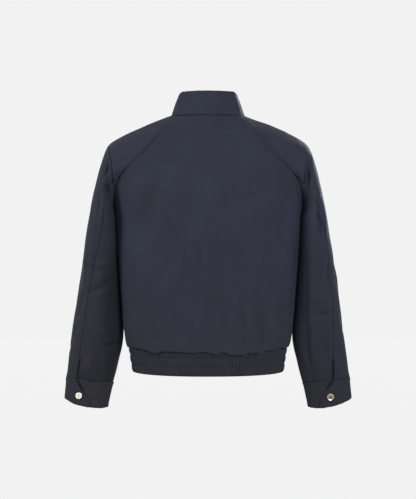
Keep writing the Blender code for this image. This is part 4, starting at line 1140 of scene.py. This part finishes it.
stitch = {
    "length": 3.0,              # one stitch shows this long
    "gap": 0.7,
    "thick": 0.42, "lift": 0.2,
    "sides": 5,
    "endWidth": 0.45, "endSinks": 0.55,     # its ends are drawn down into the cloth
    "reach": 15.0,              # the cloth is looked for this far from a line
    "longest": 1.6,             # a stitch isn't laid where its ends land further apart
    "evened": 12,
    "raglan": 5.0, "sleeve": 2.6, "front": 6.5, "cuff": 4.0, "collar": 4.5,     # insets from the edges
    "raglanZ": -0.228, "raglanX": 0.088,    # its sewing shows above and beyond these
    "sleeveTall": 0.2, "frontTall": 0.3,    # how tall an edge is that gets this sewing
    "bandPoints": 700, "bandEnds": (0.004, 0.996),
}


def stitchShape():
    # One stitch along X, its ends drawn down into the cloth.
    mesh = bmesh.new()
    bmesh.ops.create_cone(mesh, cap_ends=True, segments=stitch["sides"], radius1=0.5, radius2=0.5,
                          depth=1.0)
    bmesh.ops.rotate(mesh, verts=mesh.verts[:], matrix=Matrix.Rotation(math.pi / 2, 3, "Y"))
    lengthwise = [edge for edge in mesh.edges if abs(edge.verts[0].co.x - edge.verts[1].co.x) > 0.5]
    bmesh.ops.subdivide_edges(mesh, edges=lengthwise, cuts=2)
    for vert in [v for v in mesh.verts if abs(v.co.x) > 0.4]:
        vert.co.y *= stitch["endWidth"]
        vert.co.z = vert.co.z * stitch["endWidth"] - stitch["endSinks"]
    data = bpy.data.meshes.new("stitchShape")
    bmesh.ops.scale(mesh, verts=mesh.verts[:], vec=(
        stitch["length"] * mm, stitch["thick"] * mm, stitch["thick"] * mm))
    putBack(mesh, data)
    return data


oneStitch = stitchShape()
finders, threads = {}, {}


def surfaceOf(node):
    # A finder for places on a piece's outer side, before its thickness.
    if node not in finders:
        mesh = meshOf(made[node].data)
        finders[node] = BVHTree.FromBMesh(mesh)
        mesh.free()
    return finders[node]


def runLengths(places):
    # How far along a line each of its points is.
    return np.concatenate([[0], np.cumsum(np.linalg.norm(np.diff(places, axis=0), axis=1))])


def between(at, known, rows):
    # Rows read between the known ones.
    return np.stack([np.interp(at, known, column) for column in rows.T], axis=-1)


def addCopy(mesh, data, matrix):
    one = data.copy()
    one.transform(matrix)
    mesh.from_mesh(one)
    bpy.data.meshes.remove(one)


def sew(mesh, node, line):
    # Lays stitches along a line of (place, normal) pairs, where they meet the piece.
    places, normals = [np.array(rows) for rows in zip(*line)]
    lengths = runLengths(places)
    pitch = (stitch["length"] + stitch["gap"]) * mm
    reach = stitch["reach"] * mm
    for number in range(int(lengths[-1] / pitch)):
        ends = []
        for offset in (-0.5, 0.5):
            spot = (number + 0.5) * pitch + offset * stitch["length"] * mm
            place = Vector(between(spot, lengths, places))
            away = Vector(between(spot, lengths, normals)).normalized()
            hit, normal, _, _ = surfaceOf(node).ray_cast(place + away * reach, -away, reach * 2)
            if hit is not None:
                ends.append((hit, normal))
        if len(ends) < 2 or (ends[0][0] - ends[1][0]).length > stitch["length"] * stitch["longest"] * mm:
            continue
        middle = (ends[0][0] + ends[1][0]) / 2
        normal = (ends[0][1] + ends[1][1]).normalized()
        along = (ends[1][0] - ends[0][0]).normalized()
        normal = (normal - along * normal.dot(along)).normalized()
        turned = Matrix((along, normal.cross(along), normal)).transposed().to_4x4()
        lifted = middle + normal * stitch["thick"] * mm * stitch["lift"]
        addCopy(mesh, oneStitch, Matrix.Translation(lifted) @ turned)


def insetLine(node, chain, inset, facing=None):
    # A line on the piece, this far in from one of its open edges, with its normals.
    places = before[node][chain]
    normals = normalsOf[node][chain] if facing is None else np.tile(facing, (len(chain), 1))
    across = np.cross(np.gradient(places, axis=0), normals)
    across *= np.sign(np.sum(across * [inwards[node][n] for n in chain]))
    for _ in range(stitch["evened"]):
        across[1:-1] = (across[:-2] + across[1:-1] + across[2:]) / 3
    across /= np.linalg.norm(across, axis=1, keepdims=True) + 1e-12
    return list(zip(places + across * inset * mm, normals))


def cut(line, keep):
    # The longest run of the line where keep holds.
    runs = [[]]
    for point in line:
        if keep(point[0]):
            runs[-1].append(point)
        else:
            runs.append([])
    longest = max(runs, key=len)
    return longest if len(longest) > 3 else []


def sewPiece(node, name, lines):
    mesh = bmesh.new()
    for line in lines:
        if line:
            sew(mesh, node, line)
    item = makeObject(name, mesh, materials["thread"])
    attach(item, jacket)
    threads[node] = item


def sewAll():
    for side in ("left", "right"):
        node = "oversleeve_" + side
        raglan = max(chainsOf[node], key=lambda chain: heights(node, chain).mean())
        shoulder = insetLine(node, raglan, stitch["raglan"])
        lines = []
        for facing in (1, -1):
            lines.append(cut(shoulder, lambda p: p[1] * facing > 0.0 and p[2] > stitch["raglanZ"]
                             and abs(p[0]) > stitch["raglanX"]))
        for chain in chainsOf[node]:
            if chain is not raglan and np.ptp(heights(node, chain)) > stitch["sleeveTall"]:
                lines.append(insetLine(node, chain, stitch["sleeve"]))
        sewPiece(node, side + "SleeveSewing", lines)
        node = "front_" + side
        tall = [chain for chain in chainsOf[node] if np.ptp(heights(node, chain)) > stitch["frontTall"]]
        zipEdge = min(tall, key=lambda chain: abs(before[node][chain][:, 0]).mean())
        sewPiece(node, side + "FrontSewing", [insetLine(node, zipEdge, stitch["front"])])
        node = "cuff_" + side
        edge, others = cuffEdges(node)
        top = max(others, key=lambda line: heights(node, line).mean())
        sewPiece(node, side + "CuffSewing", [insetLine(node, top, stitch["cuff"]),
                                             insetLine(node, edge, stitch["cuff"], (0.0, 1.0, 0.0))])
    sewPiece("collar", "collarSewing", [
        insetLine("collar", chain, stitch["collar"]) for chain in chainsOf["collar"]])
    turn = np.linspace(*stitch["bandEnds"], stitch["bandPoints"])
    first, last = band["outerRows"]
    lines = []
    for down in (first,) + band["rowsOfStitches"] + (last,):
        places = bandPlace(turn, np.full(len(turn), down))
        lines.append(list(zip(places, awayFrom(np.gradient(places, axis=0)))))
    sewPiece("waistband", "waistbandSewing", lines)


sewAll()
print("sewing made")

zipMade = {
    "pitch": 2.1, "tooth": (3.4, 0.95, 1.8), "toothMiddle": 1.55, "toothDepth": 0.75, "bevel": 0.25,
    "ends": 1.5, "evened": 6,
    "tapeWidth": 12.0, "tapeThickness": 0.8, "tapeFrom": 0.2,
    "tapeDepth": [(0, 2.0), (3.6, 2.0), (5.2, 3.3), (12.0, 4.6)],       # across the tape, how deep it lies
    "middle": 0.2, "near": 6.0, "ahead": 2.0,       # how the chain's outermost points are told apart
}


def zipLine():
    # The chain's outer line from the CAD half: the outermost points beside the centre, from top to hem.
    points = np.unique(np.round(coordinates(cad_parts["zip_left"].data), 6), axis=0)
    inner = points[points[:, 0] < zipMade["middle"] * mm]
    outer = []
    for point in inner:
        near = np.linalg.norm(inner - point, axis=1) < zipMade["near"] * mm
        if not np.any(near & (inner[:, 1] < point[1] - zipMade["ahead"] * mm)):
            outer.append(point[1:])
    return np.array(sorted(outer, key=lambda p: -p[1]))


def zipFrames(line):
    # Where each tooth sits on that line, and which way the line runs there.
    lengths = runLengths(line)
    ends = zipMade["ends"] * mm
    places = between(np.arange(ends, lengths[-1] - ends, zipMade["pitch"] * mm / 2), lengths, line)
    ways = np.gradient(places, axis=0)
    for _ in range(zipMade["evened"]):
        ways[1:-1] = (ways[:-2] + ways[1:-1] * 2 + ways[2:]) / 4
    return places, unit(ways)


def toothShape():
    tooth = bmesh.new()
    bmesh.ops.create_cube(tooth, size=1.0)
    bmesh.ops.scale(tooth, verts=tooth.verts[:], vec=[v * mm for v in zipMade["tooth"]])
    bmesh.ops.bevel(tooth, geom=tooth.edges[:], offset=zipMade["bevel"] * mm, segments=1, affect="EDGES",
                    profile=0.5, material=-1)
    shape = bpy.data.meshes.new("zipTooth")
    putBack(tooth, shape)
    return shape


def makeTape(side, sign, places, ways):
    strip = bmesh.new()
    bmesh.ops.create_grid(strip, x_segments=8, y_segments=len(places) // 3, size=0.5)
    tape = makeObject(side + "ZipTape", strip, materials["tape"])
    start = coordinates(tape.data)
    across = (start[:, 0] + 0.5) * zipMade["tapeWidth"]
    down = (0.5 - start[:, 1]) * (len(places) - 1)
    y, z, wayY, wayZ = between(down, np.arange(len(places)), np.c_[places, ways]).T
    deep = fromTable(across, zipMade["tapeDepth"]) * mm
    x = sign * (across + zipMade["tapeFrom"]) * mm
    points = np.stack([x, y - wayZ * deep, z + wayY * deep], axis=1)
    tape.data.vertices.foreach_set("co", points.ravel())
    faceOut(tape.data, lambda face: Vector((0, -1, 0)))
    thicken(tape, zipMade["tapeThickness"])
    return tape


def makeZip():
    places, ways = zipFrames(zipLine())
    shape = toothShape()
    for side, sign, first in (("left", 1, 0), ("right", -1, 1)):
        chain = bmesh.new()
        for (y, z), (wayY, wayZ) in zip(places[first::2], ways[first::2]):
            inward = Vector((0, -wayZ, wayY))
            if inward.y < 0:
                inward = -inward
            axes = Matrix(((1, 0, 0), Vector((0, wayY, wayZ)), inward)).transposed().to_4x4()
            spot = Vector((sign * zipMade["toothMiddle"] * mm, y, z)) + inward * zipMade["toothDepth"] * mm
            addCopy(chain, shape, Matrix.Translation(spot) @ axes)
        teeth = makeObject(side + "ZipTeeth", chain, materials["teeth"], smooth=False)
        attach(teeth, jacket)
        tape = makeTape(side, sign, places, ways)
        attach(tape, jacket)
        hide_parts("zip_" + side)
    bpy.data.meshes.remove(shape)


makeZip()
print("zip made")

for node, kind in (("zip_slider", "slider"), ("zip_pull", "slider"), ("cuff_snap_left", "cuff_snap_left"),
                   ("cuff_snap_right", "cuff_snap_right")):     # these keep the CAD's own shape
    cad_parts[node].data.materials.clear()
    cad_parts[node].data.materials.append(materials[kind])
bpy.data.meshes.remove(oneStitch)
